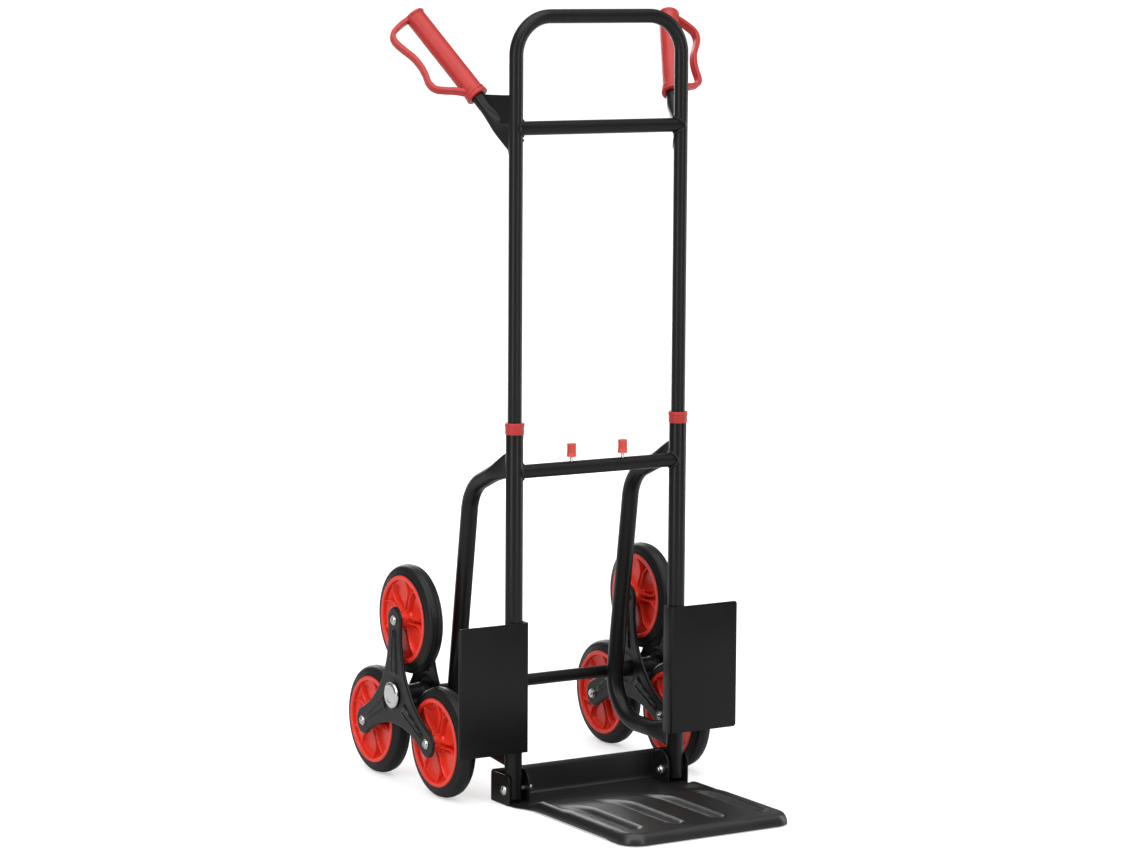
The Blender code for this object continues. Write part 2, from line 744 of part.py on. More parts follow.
def grip(side_name, side):
    """A moulded grip with a finger guard, closed at its upper end."""
    start, across, out, along = handle_basis(side)
    collar_length, end_length, edge = 0.010, 0.007, 0.002
    profile = (
        (0.0, GRIP_LENGTH), (GRIP_RADIUS - edge, GRIP_LENGTH), (GRIP_RADIUS + edge / 2, GRIP_LENGTH - edge),
        (GRIP_RADIUS + edge / 2, GRIP_LENGTH - end_length + edge), (GRIP_RADIUS, GRIP_LENGTH - end_length),
        (GRIP_RADIUS, collar_length), (GRIP_COLLAR_RADIUS, collar_length - edge),
        (GRIP_COLLAR_RADIUS, 0.0), (0.0, 0.0),
    )
    name = f"{side_name}_grip"
    place = Matrix((
        (across.x, out.x, along.x, start.x), (across.y, out.y, along.y, start.y),
        (across.z, out.z, along.z, start.z), (0, 0, 0, 1),
    ))
    barrel = turned_mesh(name, profile, 20)
    barrel.transform(place)
    part = add_object(name, barrel, RED_GRIP)
    strap = loft_mesh(f"{side_name}_finger_guard", strap_rings(), capped=True)
    strap.transform(place)
    boolean(part, add_cutter(f"{side_name}_finger_guard", strap), "UNION")
    bore = cylinder_mesh("grip_bore", GRIP_BORE, (0, 0, -0.01), (0, 0, HANDLE_TUBE_TOP + 2 * GAP), 20)
    bore.transform(place)
    boolean(part, add_cutter(f"{side_name}_grip_bore", bore), "DIFFERENCE")
    return smooth(part)


def strap_rings():
    """Sections of the finger guard in the grip's own axes, Y out to the guard and Z along the grip."""
    path = [Vector((0, out, along)) for along, out in STRAP_PATH]
    rings = []
    chamfer = 0.0018
    wide, thin = STRAP_HALF_WIDTH, STRAP_HALF_THICKNESS
    section = (
        (wide, thin - chamfer), (wide - chamfer, thin), (chamfer - wide, thin), (-wide, thin - chamfer),
        (-wide, chamfer - thin), (chamfer - wide, -thin), (wide - chamfer, -thin), (wide, chamfer - thin),
    )
    for index, point in enumerate(path):
        before = path[max(index - 1, 0)]
        after = path[min(index + 1, len(path) - 1)]
        tangent = (after - before).normalized()
        normal = tangent.cross(X_AXIS)
        rings.append([point + X_AXIS * u + normal * v for u, v in section])
    return rings


# ---------------------------------------------------------------- folding toe plate


def eased(share):
    share = min(max(share, 0.0), 1.0)
    return share * share * (3 - 2 * share)


def toe_straight_half_width(ahead):
    """Half the plate's width, leaving out its front corners: wide at the cheeks, with a waist ahead."""
    narrowing = eased((ahead - CHEEK_AHEAD) / (TOE_WAIST_AHEAD - CHEEK_AHEAD))
    return TOE_CHEEK_HALF_WIDTH + (TOE_WAIST_HALF_WIDTH - TOE_CHEEK_HALF_WIDTH) * narrowing


def toe_half_width(ahead):
    into_corner = ahead - (TOE_FRONT - TOE_CORNER)
    half = toe_straight_half_width(ahead)
    if into_corner <= 0:
        return half
    return half - TOE_CORNER + math.sqrt(max(TOE_CORNER**2 - into_corner**2, 0.0))


def toe_edge_distance(x, ahead):
    """Distance in from the plate's outline."""
    half = toe_straight_half_width(ahead)
    into_x = abs(x) - (half - TOE_CORNER)
    into_y = ahead - (TOE_FRONT - TOE_CORNER)
    if into_x > 0 and into_y > 0:
        return TOE_CORNER - math.hypot(into_x, into_y)
    return min(half - abs(x), TOE_FRONT - ahead)


def bead_depth(x, ahead):
    """How far the pressed channels dip at this point."""
    if not BEAD_START < ahead < BEAD_END:
        return 0.0
    fade = eased((ahead - BEAD_START) / BEAD_FADE) * eased((BEAD_END - ahead) / BEAD_NOSE)
    shares = [abs(x - middle) / BEAD_HALF_WIDTH for middle in BEAD_XS]
    return BEAD_DEPTH * fade * max(0.0, 1 - min(shares) ** 2)


def toe_surface_z(x, ahead):
    """Top of the pressed sheet: a low pan at the cheeks, a raised margin, channels and rolled edges."""
    rise = eased((ahead - TOE_PAN_AHEAD) / (TOE_RISE_AHEAD - TOE_PAN_AHEAD))
    inside = max(toe_edge_distance(x, ahead), 0.0)
    margin = eased(1.5 - inside / TOE_RIM_WIDTH) * eased((ahead - 0.030) / 0.040)
    share = max(rise, 0.9 * margin)
    top = TOE_REAR_TOP_Z + (TOE_FRONT_TOP_Z - TOE_REAR_TOP_Z) * share
    if inside >= TOE_ROLL:
        return top - bead_depth(x, ahead)
    drop = 1 - math.sqrt(max(1 - (1 - inside / TOE_ROLL) ** 2, 0.0))
    return top - drop * (top - TOE_EDGE_Z)


def toe_sheet_mesh():
    rolled = (1.0, 0.72, 0.45, 0.22, 0.07, 0.0)
    rows = [-TOE_REAR_BEHIND + TOE_SHEET / 2, -0.012, 0.010, 0.022, 0.034, 0.046, 0.060, 0.078, 0.100]
    rows += [0.130, 0.165, 0.200, 0.235, BEAD_END - BEAD_NOSE, BEAD_END - BEAD_NOSE / 2, BEAD_END]
    rows += [TOE_FRONT - TOE_ROLL * share for share in rolled]
    columns = [0.0]
    for middle in BEAD_XS[2:]:
        columns += [middle + BEAD_HALF_WIDTH * share for share in (-1.0, -0.5, 0.5, 1.0)]
    columns += [TOE_WAIST_HALF_WIDTH - TOE_ROLL * share for share in rolled]
    columns = [-column for column in reversed(columns[1:])] + columns
    kept = 0.050  # columns inside this stay straight; the rest follow the outline

    def build(shape):
        grid = []
        for ahead in rows:
            stretch = (toe_half_width(ahead) - kept) / (TOE_WAIST_HALF_WIDTH - kept)
            line = []
            for column in columns:
                size = abs(column)
                if size > kept:
                    size = kept + (size - kept) * stretch
                x = math.copysign(size, column)
                line.append(shape.verts.new((x, UPRIGHT_Y - ahead, toe_surface_z(x, ahead))))
            grid.append(line)
        for near, far in zip(grid, grid[1:]):
            for i in range(len(near) - 1):
                shape.faces.new((near[i], far[i], far[i + 1], near[i + 1]))

    return mesh_of(build, "toe_plate")


def cheek_outline(ahead, behind, bottom, top, front_corner, back_corner):
    """A cheek in (Y, Z), with its top corners rounded."""
    front = UPRIGHT_Y - ahead
    back = UPRIGHT_Y + behind
    outline = [(front, bottom), (back, bottom)]
    if back_corner > 0:
        outline += arc((back - back_corner, top - back_corner), back_corner, 0, 90, 5)
    else:
        outline += [(back, top)]
    outline += arc((front + front_corner, top - front_corner), front_corner, 90, 180, 5)
    return outline


def pivot_hole_cutter():
    reach = CHEEK_X * 1.1
    name = "toe_pivot_hole"
    if name in CUTTERS.objects:
        return CUTTERS.objects[name]
    ends = ((-reach, UPRIGHT_Y, PIVOT_Z), (reach, UPRIGHT_Y, PIVOT_Z))
    return add_cutter(name, cylinder_mesh(name, PIVOT_RADIUS + GAP, *ends, 12))


def toe_plate():
    """Sheet, back lip and outer cheeks, pressed from one plate."""
    sheet = toe_sheet_mesh()
    if sum(face.normal.z for face in sheet.polygons) < 0:
        sheet.flip_normals()
    holder = bpy.data.objects.new("toe_plate", sheet)
    PARTS.objects.link(holder)
    solidify = holder.modifiers.new("sheet", "SOLIDIFY")
    solidify.thickness = TOE_SHEET
    solidify.offset = -1
    part = add_object("toe_plate", baked(holder), BLACK_PAINT)
    back = UPRIGHT_Y + TOE_REAR_BEHIND
    ends = CHEEK_X + TOE_SHEET * 0.2
    lip = add_cutter(
        "toe_back_lip",
        box_mesh("toe_back_lip", (-ends, back - TOE_SHEET, 0.0012), (ends, back, TOE_BACK_LIP_Z)),
    )
    boolean(part, lip, "UNION")
    outline = cheek_outline(CHEEK_AHEAD, CHEEK_BEHIND, CHEEK_BOTTOM_Z, CHEEK_TOP_Z, CHEEK_CORNER, 0)
    for side_name, side in SIDES:
        mesh = outline_mesh(f"{side_name}_outer_cheek", outline, TOE_SHEET)
        place_in_side_plane(mesh, side * CHEEK_X)
        cheek = add_cutter(f"{side_name}_outer_cheek", mesh_with_outward_normals(mesh))
        boolean(part, cheek, "UNION")
    boolean(part, pivot_hole_cutter(), "DIFFERENCE")
    return smooth(part)


def inner_cheek(side_name, side):
    name = f"{side_name}_inner_cheek"
    bottom = TOE_REAR_TOP_Z + GAP
    outline = cheek_outline(
        CHEEK_AHEAD, INNER_CHEEK_BEHIND, bottom, INNER_CHEEK_TOP_Z, INNER_CHEEK_CORNER, INNER_CHEEK_CORNER
    )
    mesh = place_in_side_plane(outline_mesh(name, outline, TOE_SHEET), side * INNER_CHEEK_X)
    part = add_object(name, mesh_with_outward_normals(mesh), BLACK_PAINT)
    return boolean(part, pivot_hole_cutter(), "DIFFERENCE")


def pivot_bolt(side_name, side):
    """Domed bolt from outside through both cheeks and the upright, with its nut inboard."""
    head_x = CHEEK_X + TOE_SHEET / 2 + GAP
    nut_x = INNER_CHEEK_X - TOE_SHEET / 2 - GAP
    nut_length = 0.0065
    end_x = nut_x - nut_length - 0.003
    dome = 0.0045
    profile = (
        (0.0, head_x + dome), (PIVOT_HEAD_RADIUS * 0.55, head_x + dome * 0.8),
        (PIVOT_HEAD_RADIUS, head_x + dome * 0.2), (PIVOT_HEAD_RADIUS, head_x),
        (PIVOT_RADIUS, head_x), (PIVOT_RADIUS, end_x), (0.0, end_x),
    )
    name = f"{side_name}_pivot_bolt"
    mesh = turned_mesh(name, profile, 16, (0, UPRIGHT_Y, PIVOT_Z), X_AXIS * side)
    smooth(add_object(name, mesh, ZINC))
    bore = PIVOT_RADIUS + GAP
    flat = 0.0013
    nut_profile = (
        (PIVOT_HEAD_RADIUS, nut_x), (PIVOT_HEAD_RADIUS, nut_x - nut_length + flat),
        (PIVOT_HEAD_RADIUS - flat, nut_x - nut_length), (bore, nut_x - nut_length), (bore, nut_x),
    )
    name = f"{side_name}_pivot_nut"
    mesh = turned_mesh(name, nut_profile, 12, (0, UPRIGHT_Y, PIVOT_Z), X_AXIS * side)
    add_object(name, mesh, ZINC)


# ---------------------------------------------------------------- stars


def wheel_centre(angle):
    """(Y, Z) of the wheel at this angle, measured from the rear (+Y) upwards."""
    turn = math.radians(angle)
    return AXLE_Y + STAR_ARM * math.cos(turn), AXLE_Z + STAR_ARM * math.sin(turn)


def star_outline():
    """Three round arm ends joined by concave edges that stay a waist away from the centre."""
    end, arm = BRACKET_END_RADIUS, STAR_ARM
    inset = BRACKET_WAIST - end
    reach = (arm**2 - inset**2) / (arm - 2 * inset)
    sweep = reach - BRACKET_WAIST
    outline = []
    for third in range(3):
        middle = 90 + 120 * third
        half = math.radians(60)
        across = Vector((reach * math.cos(half), reach * math.sin(half)))
        tip = Vector((arm, 0))
        lean = math.degrees(math.atan2(*(across - tip).yx))
        center = (arm * math.cos(math.radians(middle)), arm * math.sin(math.radians(middle)))
        outline += arc(center, end, middle - lean, middle + lean, 8)
        next_middle = middle + 60
        hollow = (reach * math.cos(math.radians(next_middle)), reach * math.sin(math.radians(next_middle)))
        toward_tip = tip - across
        spread = math.degrees(math.atan2(*toward_tip.yx)) % 360 - 240
        outline += arc(hollow, sweep, next_middle + 180 + spread, next_middle + 180 - spread, 7)[1:-1]
    return outline


def star_bracket(name, x):
    mesh = outline_mesh(name, star_outline(), BRACKET_SHEET)
    mesh.transform(Matrix(((0, 0, 1, x), (1, 0, 0, AXLE_Y), (0, 1, 0, AXLE_Z), (0, 0, 0, 1))))
    part = add_object(name, mesh_with_outward_normals(mesh), BLACK_PAINT)
    reach = BRACKET_SHEET
    holes = [(AXLE_Y, AXLE_Z, BRACKET_BORE, 20)]
    holes += [(*wheel_centre(angle), WHEEL_BOLT_RADIUS + GAP, 12) for _, angle in WHEEL_ANGLES]
    for index, (y, z, radius, sides) in enumerate(holes):
        mesh = cylinder_mesh("hole", radius, (x - reach, y, z), (x + reach, y, z), sides)
        boolean(part, add_cutter(f"{name}_hole_{index}", mesh), "DIFFERENCE")
    return part


def star_hub(side_name, side):
    """The sleeve that carries a star on its journal, with its necks through both brackets."""
    inner_face = STAR_MID_X - (BRACKET_SPREAD - BRACKET_SHEET) / 2 + GAP
    outer_face = STAR_MID_X + (BRACKET_SPREAD - BRACKET_SHEET) / 2 - GAP
    neck_out = outer_face + BRACKET_SHEET + 2 * GAP
    bore = JOURNAL_RADIUS + GAP
    profile = (
        (bore, neck_out), (HUB_NECK_RADIUS, neck_out), (HUB_NECK_RADIUS, outer_face),
        (HUB_BODY_RADIUS, outer_face), (HUB_BODY_RADIUS, inner_face), (HUB_NECK_RADIUS, inner_face),
        (HUB_NECK_RADIUS, JOURNAL_START_X), (bore, JOURNAL_START_X),
    )
    name = f"{side_name}_star_hub"
    mesh = turned_mesh(name, profile, 20, (0, AXLE_Y, AXLE_Z), X_AXIS * side)
    return smooth(add_object(name, mesh, BLACK_PLASTIC))


def hub_cap(side_name, side):
    """The dished cap pressed onto the journal's end."""
    face = STAR_MID_X + (BRACKET_SPREAD + BRACKET_SHEET) / 2 + 0.0008
    bore = JOURNAL_RADIUS + GAP
    edge = 0.0015
    roof = AXLE_HALF_LENGTH + GAP
    profile = (
        (0.0, face + HUB_CAP_DEPTH), (HUB_CAP_RADIUS * 0.6, face + HUB_CAP_DEPTH),
        (HUB_CAP_RADIUS - edge, face + HUB_CAP_DEPTH - edge), (HUB_CAP_RADIUS, face + edge),
        (HUB_CAP_RADIUS, face), (bore, face), (bore, roof), (0.0, roof),
    )
    name = f"{side_name}_hub_cap"
    mesh = turned_mesh(name, profile, 24, (0, AXLE_Y, AXLE_Z), X_AXIS * side)
    return smooth(add_object(name, mesh, CHROME))


def wheel(side_name, side, wheel_name, angle):
    """A rubber tyre on a moulded rim, and the bolt that carries it between the brackets."""
    y, z = wheel_centre(angle)
    middle = (side * STAR_MID_X, y, z)
    half = TYRE_WIDTH / 2
    shoulder = 0.006
    seat = RIM_RADIUS
    tyre_steps = 28
    tyre_seat = (seat + GAP) / math.cos(math.pi / tyre_steps)
    tyre_profile = (
        (WHEEL_RADIUS - shoulder, half), (WHEEL_RADIUS - 0.0018, half - 0.0018 - 0.0005),
        (WHEEL_RADIUS, half - shoulder), (WHEEL_RADIUS, shoulder - half),
        (WHEEL_RADIUS - 0.0018, 0.0018 + 0.0005 - half), (WHEEL_RADIUS - shoulder, -half),
        (tyre_seat, -half), (tyre_seat, half),
    )
    name = f"{side_name}_{wheel_name}_tyre"
    smooth(add_object(name, turned_mesh(name, tyre_profile, tyre_steps, middle, X_AXIS * side), BLACK_TYRE), 60)

    hub_half = (BRACKET_SPREAD - BRACKET_SHEET) / 2 - 2 * GAP
    bore = WHEEL_BOLT_RADIUS + GAP
    lip_in, web = 0.0575, 0.0025
    tilt = 0.0015
    rim_profile = (
        (seat, half - 0.001), (seat, 0.001 - half), (lip_in + tilt, 0.001 - half), (lip_in, -web),
        (RIM_HUB_RADIUS + tilt, -web), (RIM_HUB_RADIUS, -hub_half), (bore, -hub_half),
        (bore, hub_half), (RIM_HUB_RADIUS, hub_half), (RIM_HUB_RADIUS + tilt, web),
        (lip_in, web), (lip_in + tilt, half - 0.001),
    )
    name = f"{side_name}_{wheel_name}_rim"
    smooth(add_object(name, turned_mesh(name, rim_profile, 20, middle, X_AXIS * side), RED_RIM))

    face = (BRACKET_SPREAD + BRACKET_SHEET) / 2 + GAP
    head = WHEEL_BOLT_HEAD_LENGTH
    round_off = 0.0012
    wide = WHEEL_BOLT_HEAD_RADIUS
    bolt_profile = (
        (0.0, face + head), (wide - round_off, face + head), (wide, face + head - round_off), (wide, face),
        (WHEEL_BOLT_RADIUS, face), (WHEEL_BOLT_RADIUS, -face), (wide, -face),
        (wide, round_off - face - head), (wide - round_off, -face - head), (0.0, -face - head),
    )
    name = f"{side_name}_{wheel_name}_bolt"
    smooth(add_object(name, turned_mesh(name, bolt_profile, 12, middle, X_AXIS * side), ZINC))


def star(side_name, side):
    half = BRACKET_SPREAD / 2
    star_bracket(f"{side_name}_inner_bracket", side * (STAR_MID_X - half))
    star_bracket(f"{side_name}_outer_bracket", side * (STAR_MID_X + half))
    star_hub(side_name, side)
    hub_cap(side_name, side)
    for wheel_name, angle in WHEEL_ANGLES:
        wheel(side_name, side, wheel_name, angle)


def main():
    middle_crossbar()
    axle()
    handle_frame()
    crossbar("upper_crossbar", UPPER_CROSSBAR_Z, UPPER_TUBE_RADIUS)
    toe_plate()
    for side_name, side in SIDES:
        lower_upright(side_name, side)
        collar(side_name, side)
        axle_loop(side_name, side)
        guard_plate(side_name, side)
        latch(side_name, side)
        tube_guide(side_name, side)
        handle_tube(side_name, side)
        handle_gusset(side_name, side)
        grip(side_name, side)
        inner_cheek(side_name, side)
        pivot_bolt(side_name, side)
        star(side_name, side)


main()
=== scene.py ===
"""Looks of the stair climbing trolley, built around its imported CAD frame. Metres, +Z up."""

import math

import bmesh
import bpy
from mathutils import Matrix, Vector
from mathutils.geometry import interpolate_bezier


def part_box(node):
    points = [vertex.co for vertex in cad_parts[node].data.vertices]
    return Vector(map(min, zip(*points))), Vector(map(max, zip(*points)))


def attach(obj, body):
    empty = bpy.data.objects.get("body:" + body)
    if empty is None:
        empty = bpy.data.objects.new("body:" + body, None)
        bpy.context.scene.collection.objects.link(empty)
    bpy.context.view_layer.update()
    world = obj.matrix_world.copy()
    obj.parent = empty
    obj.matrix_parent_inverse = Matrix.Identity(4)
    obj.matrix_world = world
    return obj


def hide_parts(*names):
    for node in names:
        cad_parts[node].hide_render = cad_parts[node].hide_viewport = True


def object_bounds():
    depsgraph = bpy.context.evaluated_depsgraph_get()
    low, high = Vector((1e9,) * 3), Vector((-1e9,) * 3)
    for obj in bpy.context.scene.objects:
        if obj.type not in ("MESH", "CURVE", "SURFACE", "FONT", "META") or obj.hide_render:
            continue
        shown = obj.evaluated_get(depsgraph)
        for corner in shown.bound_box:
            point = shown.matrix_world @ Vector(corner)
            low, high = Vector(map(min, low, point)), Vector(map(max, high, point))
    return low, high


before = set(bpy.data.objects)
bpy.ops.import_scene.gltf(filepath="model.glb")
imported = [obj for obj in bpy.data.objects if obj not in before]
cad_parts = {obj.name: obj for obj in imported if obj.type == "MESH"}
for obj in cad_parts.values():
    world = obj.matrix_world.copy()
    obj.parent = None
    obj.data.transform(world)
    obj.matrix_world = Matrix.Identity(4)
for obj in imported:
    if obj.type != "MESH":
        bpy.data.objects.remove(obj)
CAD_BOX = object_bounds()

MM = 0.001
X_AXIS = Vector((1, 0, 0))
Y_AXIS = Vector((0, 1, 0))
Z_AXIS = Vector((0, 0, 1))
BOTH_ENDS = ("start", "end")
SIDES = (("left", -1), ("right", 1))
WHEELS = ("top", "rear", "front")


def middle(node):
    low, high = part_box(node)
    return (Vector(low) + Vector(high)) / 2


UPRIGHT = middle("right_lower_upright")  # only its X and Y are used
AXLE = middle("axle")
LOWER_RADIUS = 12.5 * MM
UPPER_RADIUS = 10.0 * MM


# ---------------------------------------------------------------- materials


def add_noise(nodes, links, place, scale, detail):
    noise = nodes.new("ShaderNodeTexNoise")
    noise.inputs["Scale"].default_value = scale
    noise.inputs["Detail"].default_value = detail
    links.new(place.outputs["Object"], noise.inputs["Vector"])
    return noise


def add_range(nodes, links, source, low, high, from_low=0.3, from_high=0.7):
    spread = nodes.new("ShaderNodeMapRange")
    limits = {"From Min": from_low, "From Max": from_high, "To Min": low, "To Max": high}
    for key, value in limits.items():
        spread.inputs[key].default_value = value
    links.new(source, spread.inputs["Value"])
    return spread


def surface(name, dark, light, rough, metallic=0.0, broad=22.0, grain=700.0, bump=0.10, edge=None,
            specular=0.5):
    """A procedural finish: cloudy colour and roughness, fine grain in the bump, and lighter sharp edges:
    wear on the painted sheets, a painted highlight on the rims.
    """
    material = bpy.data.materials.new(name)
    material.use_nodes = True
    nodes, links = material.node_tree.nodes, material.node_tree.links
    shader = nodes["Principled BSDF"]
    shader.inputs["Metallic"].default_value = metallic
    shader.inputs["Specular IOR Level"].default_value = specular
    place = nodes.new("ShaderNodeTexCoord")
    clouds = add_noise(nodes, links, place, broad, 5.0)
    blend = nodes.new("ShaderNodeMix")
    blend.data_type = "RGBA"
    blend.inputs["A"].default_value = (*dark, 1.0)
    blend.inputs["B"].default_value = (*light, 1.0)
    share = add_range(nodes, links, clouds.outputs["Fac"], 0.0, 1.0)
    links.new(share.outputs["Result"], blend.inputs["Factor"])
    color = blend.outputs["Result"]
    if edge:
        # Sharp edges take the lighter edge colour: wear on the painted sheets, a painted highlight on the
        # rims.
        geometry = nodes.new("ShaderNodeNewGeometry")
        edge_wear_and_sheen = add_range(nodes, links, geometry.outputs["Pointiness"], 0.0, 1.0, 0.60, 0.75)
        edges = nodes.new("ShaderNodeMix")
        edges.data_type = "RGBA"
        edges.inputs["B"].default_value = (*edge, 1.0)
        links.new(color, edges.inputs["A"])
        links.new(edge_wear_and_sheen.outputs["Result"], edges.inputs["Factor"])
        color = edges.outputs["Result"]
    links.new(color, shader.inputs["Base Color"])
    patches = add_noise(nodes, links, place, broad * 3.1, 4.0)
    gloss = add_range(nodes, links, patches.outputs["Fac"], *rough)
    links.new(gloss.outputs["Result"], shader.inputs["Roughness"])
    fine = add_noise(nodes, links, place, grain, 3.0)
    relief = nodes.new("ShaderNodeBump")
    relief.inputs["Strength"].default_value = bump
    relief.inputs["Distance"].default_value = 0.2 * MM
    links.new(fine.outputs["Fac"], relief.inputs["Height"])
    links.new(relief.outputs["Normal"], shader.inputs["Normal"])
    return material


TUBE_PAINT = surface(
    "tube_powder_coat", (0.0048, 0.0052, 0.0049), (0.0064, 0.0068, 0.0064), (0.325, 0.355), broad=7.0,
    grain=1300.0, bump=0.015, specular=0.20,
)
SHEET_PAINT = surface(
    "sheet_powder_coat", (0.0044, 0.0047, 0.0044), (0.0060, 0.0063, 0.0059), (0.31, 0.36), broad=9.0,
    grain=1300.0, bump=0.03, edge=(0.014, 0.014, 0.013), specular=0.19,
)
TOE_PAINT = surface(
    "toe_plate_powder_coat", (0.0046, 0.0049, 0.0046), (0.0062, 0.0065, 0.0061), (0.34, 0.40), broad=9.0,
    grain=1300.0, bump=0.03, edge=(0.014, 0.014, 0.013), specular=0.44,
)
TYRE = surface(
    "tyre_rubber", (0.0040, 0.0041, 0.0040), (0.0060, 0.0061, 0.0059), (0.38, 0.46), broad=30.0,
    grain=1500.0, bump=0.06, edge=(0.012, 0.012, 0.011), specular=0.22,
)
GRIP = surface(
    "grip_plastic", (0.360, 0.022, 0.019), (0.410, 0.027, 0.023), (0.36, 0.44), grain=1500.0, bump=0.06,
    edge=(0.46, 0.045, 0.04), specular=0.34,
)
KNOB = surface(
    "knob_plastic", (0.500, 0.054, 0.035), (0.560, 0.066, 0.043), (0.32, 0.42), grain=1500.0, bump=0.06,
    edge=(0.64, 0.12, 0.09), specular=0.36,
)
# The rim's edge colour is a painted highlight: its sharp ring and rib edges are painted a lighter red.
RIM = surface(
    "rim_plastic", (0.640, 0.024, 0.011), (0.720, 0.031, 0.014), (0.28, 0.34), grain=1100.0, bump=0.015,
    edge=(0.76, 0.05, 0.025), specular=0.38,
)
ZINC = surface(
    "zinc_plate", (0.42, 0.42, 0.41), (0.62, 0.62, 0.60), (0.20, 0.34), metallic=1.0, broad=160.0,
    grain=2400.0, bump=0.10, edge=(0.80, 0.80, 0.78),
)
CHROME = surface(
    "chrome_cap", (0.54, 0.54, 0.54), (0.60, 0.60, 0.60), (0.15, 0.18), metallic=0.95, broad=40.0,
    grain=1800.0, bump=0.01, edge=(0.80, 0.80, 0.80),
)
BLACK_PLASTIC = surface(
    "black_plastic", (0.0080, 0.0080, 0.0080), (0.0125, 0.0125, 0.0125), (0.38, 0.50), grain=1500.0,
    bump=0.10, edge=(0.020, 0.020, 0.020), specular=0.30,
)


# ---------------------------------------------------------------- shapes


def circle(count):
    """(cosine, sine) pairs round a full turn."""
    angles = [2 * math.pi * step / count for step in range(count)]
    return [(math.cos(angle), math.sin(angle)) for angle in angles]


def quarter(count):
    """Angles from zero to a right angle, in count steps."""
    return [math.pi / 2 * step / count for step in range(count + 1)]


def mirrored(profile):
    """The same (radius, height) points with their heights turned over, in reverse."""
    return [(radius, -height) for radius, height in reversed(profile)]


def axes(x, y, z, origin):
    """The matrix of a place with these local axes."""
    rows = [(x[i], y[i], z[i], origin[i]) for i in range(3)]
    return Matrix((*rows, (0, 0, 0, 1)))


def bridge(shape, first, second):
    """Faces between two closed rings, either of which may be a single point."""
    count = max(len(first), len(second))
    for i in range(count):
        j = (i + 1) % count
        if len(first) == 1:
            shape.faces.new((first[0], second[j], second[i]))
        elif len(second) == 1:
            shape.faces.new((first[i], first[j], second[0]))
        else:
            shape.faces.new((first[i], first[j], second[j], second[i]))


def turn(shape, profile, place, steps=72, closed=False):
    """Turns (radius, height) points about the local Z axis of place."""
    rings = []
    for radius, height in profile:
        if radius < 1e-7:
            rings.append([shape.verts.new(place @ Vector((0, 0, height)))])
            continue
        points = [Vector((radius * c, radius * s, height)) for c, s in circle(steps)]
        rings.append([shape.verts.new(place @ point) for point in points])
    for first, second in zip(rings, rings[1:]):
        bridge(shape, first, second)
    if closed:
        bridge(shape, rings[-1], rings[0])


def skin(shape, rings, capped=True):
    loops = [[shape.verts.new(point) for point in ring] for ring in rings]
    for first, second in zip(loops, loops[1:]):
        bridge(shape, first, second)
    if capped:
        shape.faces.new(loops[0][::-1])
        shape.faces.new(loops[-1])
    return loops


def soften(points, radius, steps=4, closed=True):
    """Rounds each corner of an outline or a profile on an arc-like curve."""
    points = [Vector(point) for point in points]
    count = len(points)
    made = [] if closed else [points[0]]
    span = range(count) if closed else range(1, count - 1)
    for index in span:
        before, corner, after = points[index - 1], points[index], points[(index + 1) % count]
        reach_in = min(radius, (before - corner).length * 0.45)
        reach_out = min(radius, (after - corner).length * 0.45)
        start = corner + (before - corner).normalized() * reach_in
        end = corner + (after - corner).normalized() * reach_out
        for step in range(steps + 1):
            share = step / steps
            made.append(start.lerp(corner, share).lerp(corner.lerp(end, share), share))
    if not closed:
        made.append(points[-1])
    return made


def lathe(shape, corners, rounding, steps, place, sides, closed=True):
    """Rounds a profile's corners and turns it."""
    turn(shape, soften(corners, rounding, steps, closed), place, sides, closed)


def slab(shape, outline, thickness, place, edge=0.5 * MM):
    """A flat plate with softened rims: outline in local XY, thickness along local Z about zero."""
    half = thickness / 2
    outline = [Vector(point).to_2d() for point in outline]
    count = len(outline)
    area = sum(outline[i - 1].cross(outline[i]) for i in range(count))
    turned = 1 if area > 0 else -1
    inset = []
    for i in range(count):
        along = (outline[(i + 1) % count] - outline[i - 1]).normalized()
        inset.append(outline[i] + Vector((-along.y, along.x)) * edge * turned)
    rings = []
    for points, level in ((inset, -half), (outline, edge - half), (outline, half - edge), (inset, half)):
        rings.append([place @ Vector((point.x, point.y, level)) for point in points])
    skin(shape, rings)


def rounded_path(corners, radii, steps=16):
    """A polyline through corners, with each inner corner turned on an arc of its radius."""
    corners = [Vector(corner) for corner in corners]
    path = [corners[0]]
    for before, corner, after, radius in zip(corners, corners[1:], corners[2:], radii):
        back = (before - corner).normalized()
        ahead = (after - corner).normalized()
        half = back.angle(ahead) / 2
        reach = radius / math.tan(half)
        center = corner + (back + ahead).normalized() * radius / math.sin(half)
        start, end = corner + back * reach - center, corner + ahead * reach - center
        swing = start.rotation_difference(end)
        for step in range(steps + 1):
            path.append(center + Matrix.Rotation(swing.angle * step / steps, 3, swing.axis) @ start)
    path.append(corners[-1])
    return path


def refined(path, longest):
    """The same path with no stretch longer than this."""
    made = [path[0]]
    for first, second in zip(path, path[1:]):
        parts = max(1, math.ceil((second - first).length / longest))
        made += [first.lerp(second, part / parts) for part in range(1, parts + 1)]
    return made


def eased(share):
    share = min(max(share, 0.0), 1.0)
    return share * share * (3 - 2 * share)


def ramp(value, start, end):
    """Eases from 0 at start to 1 at end."""
    return eased((value - start) / (end - start))


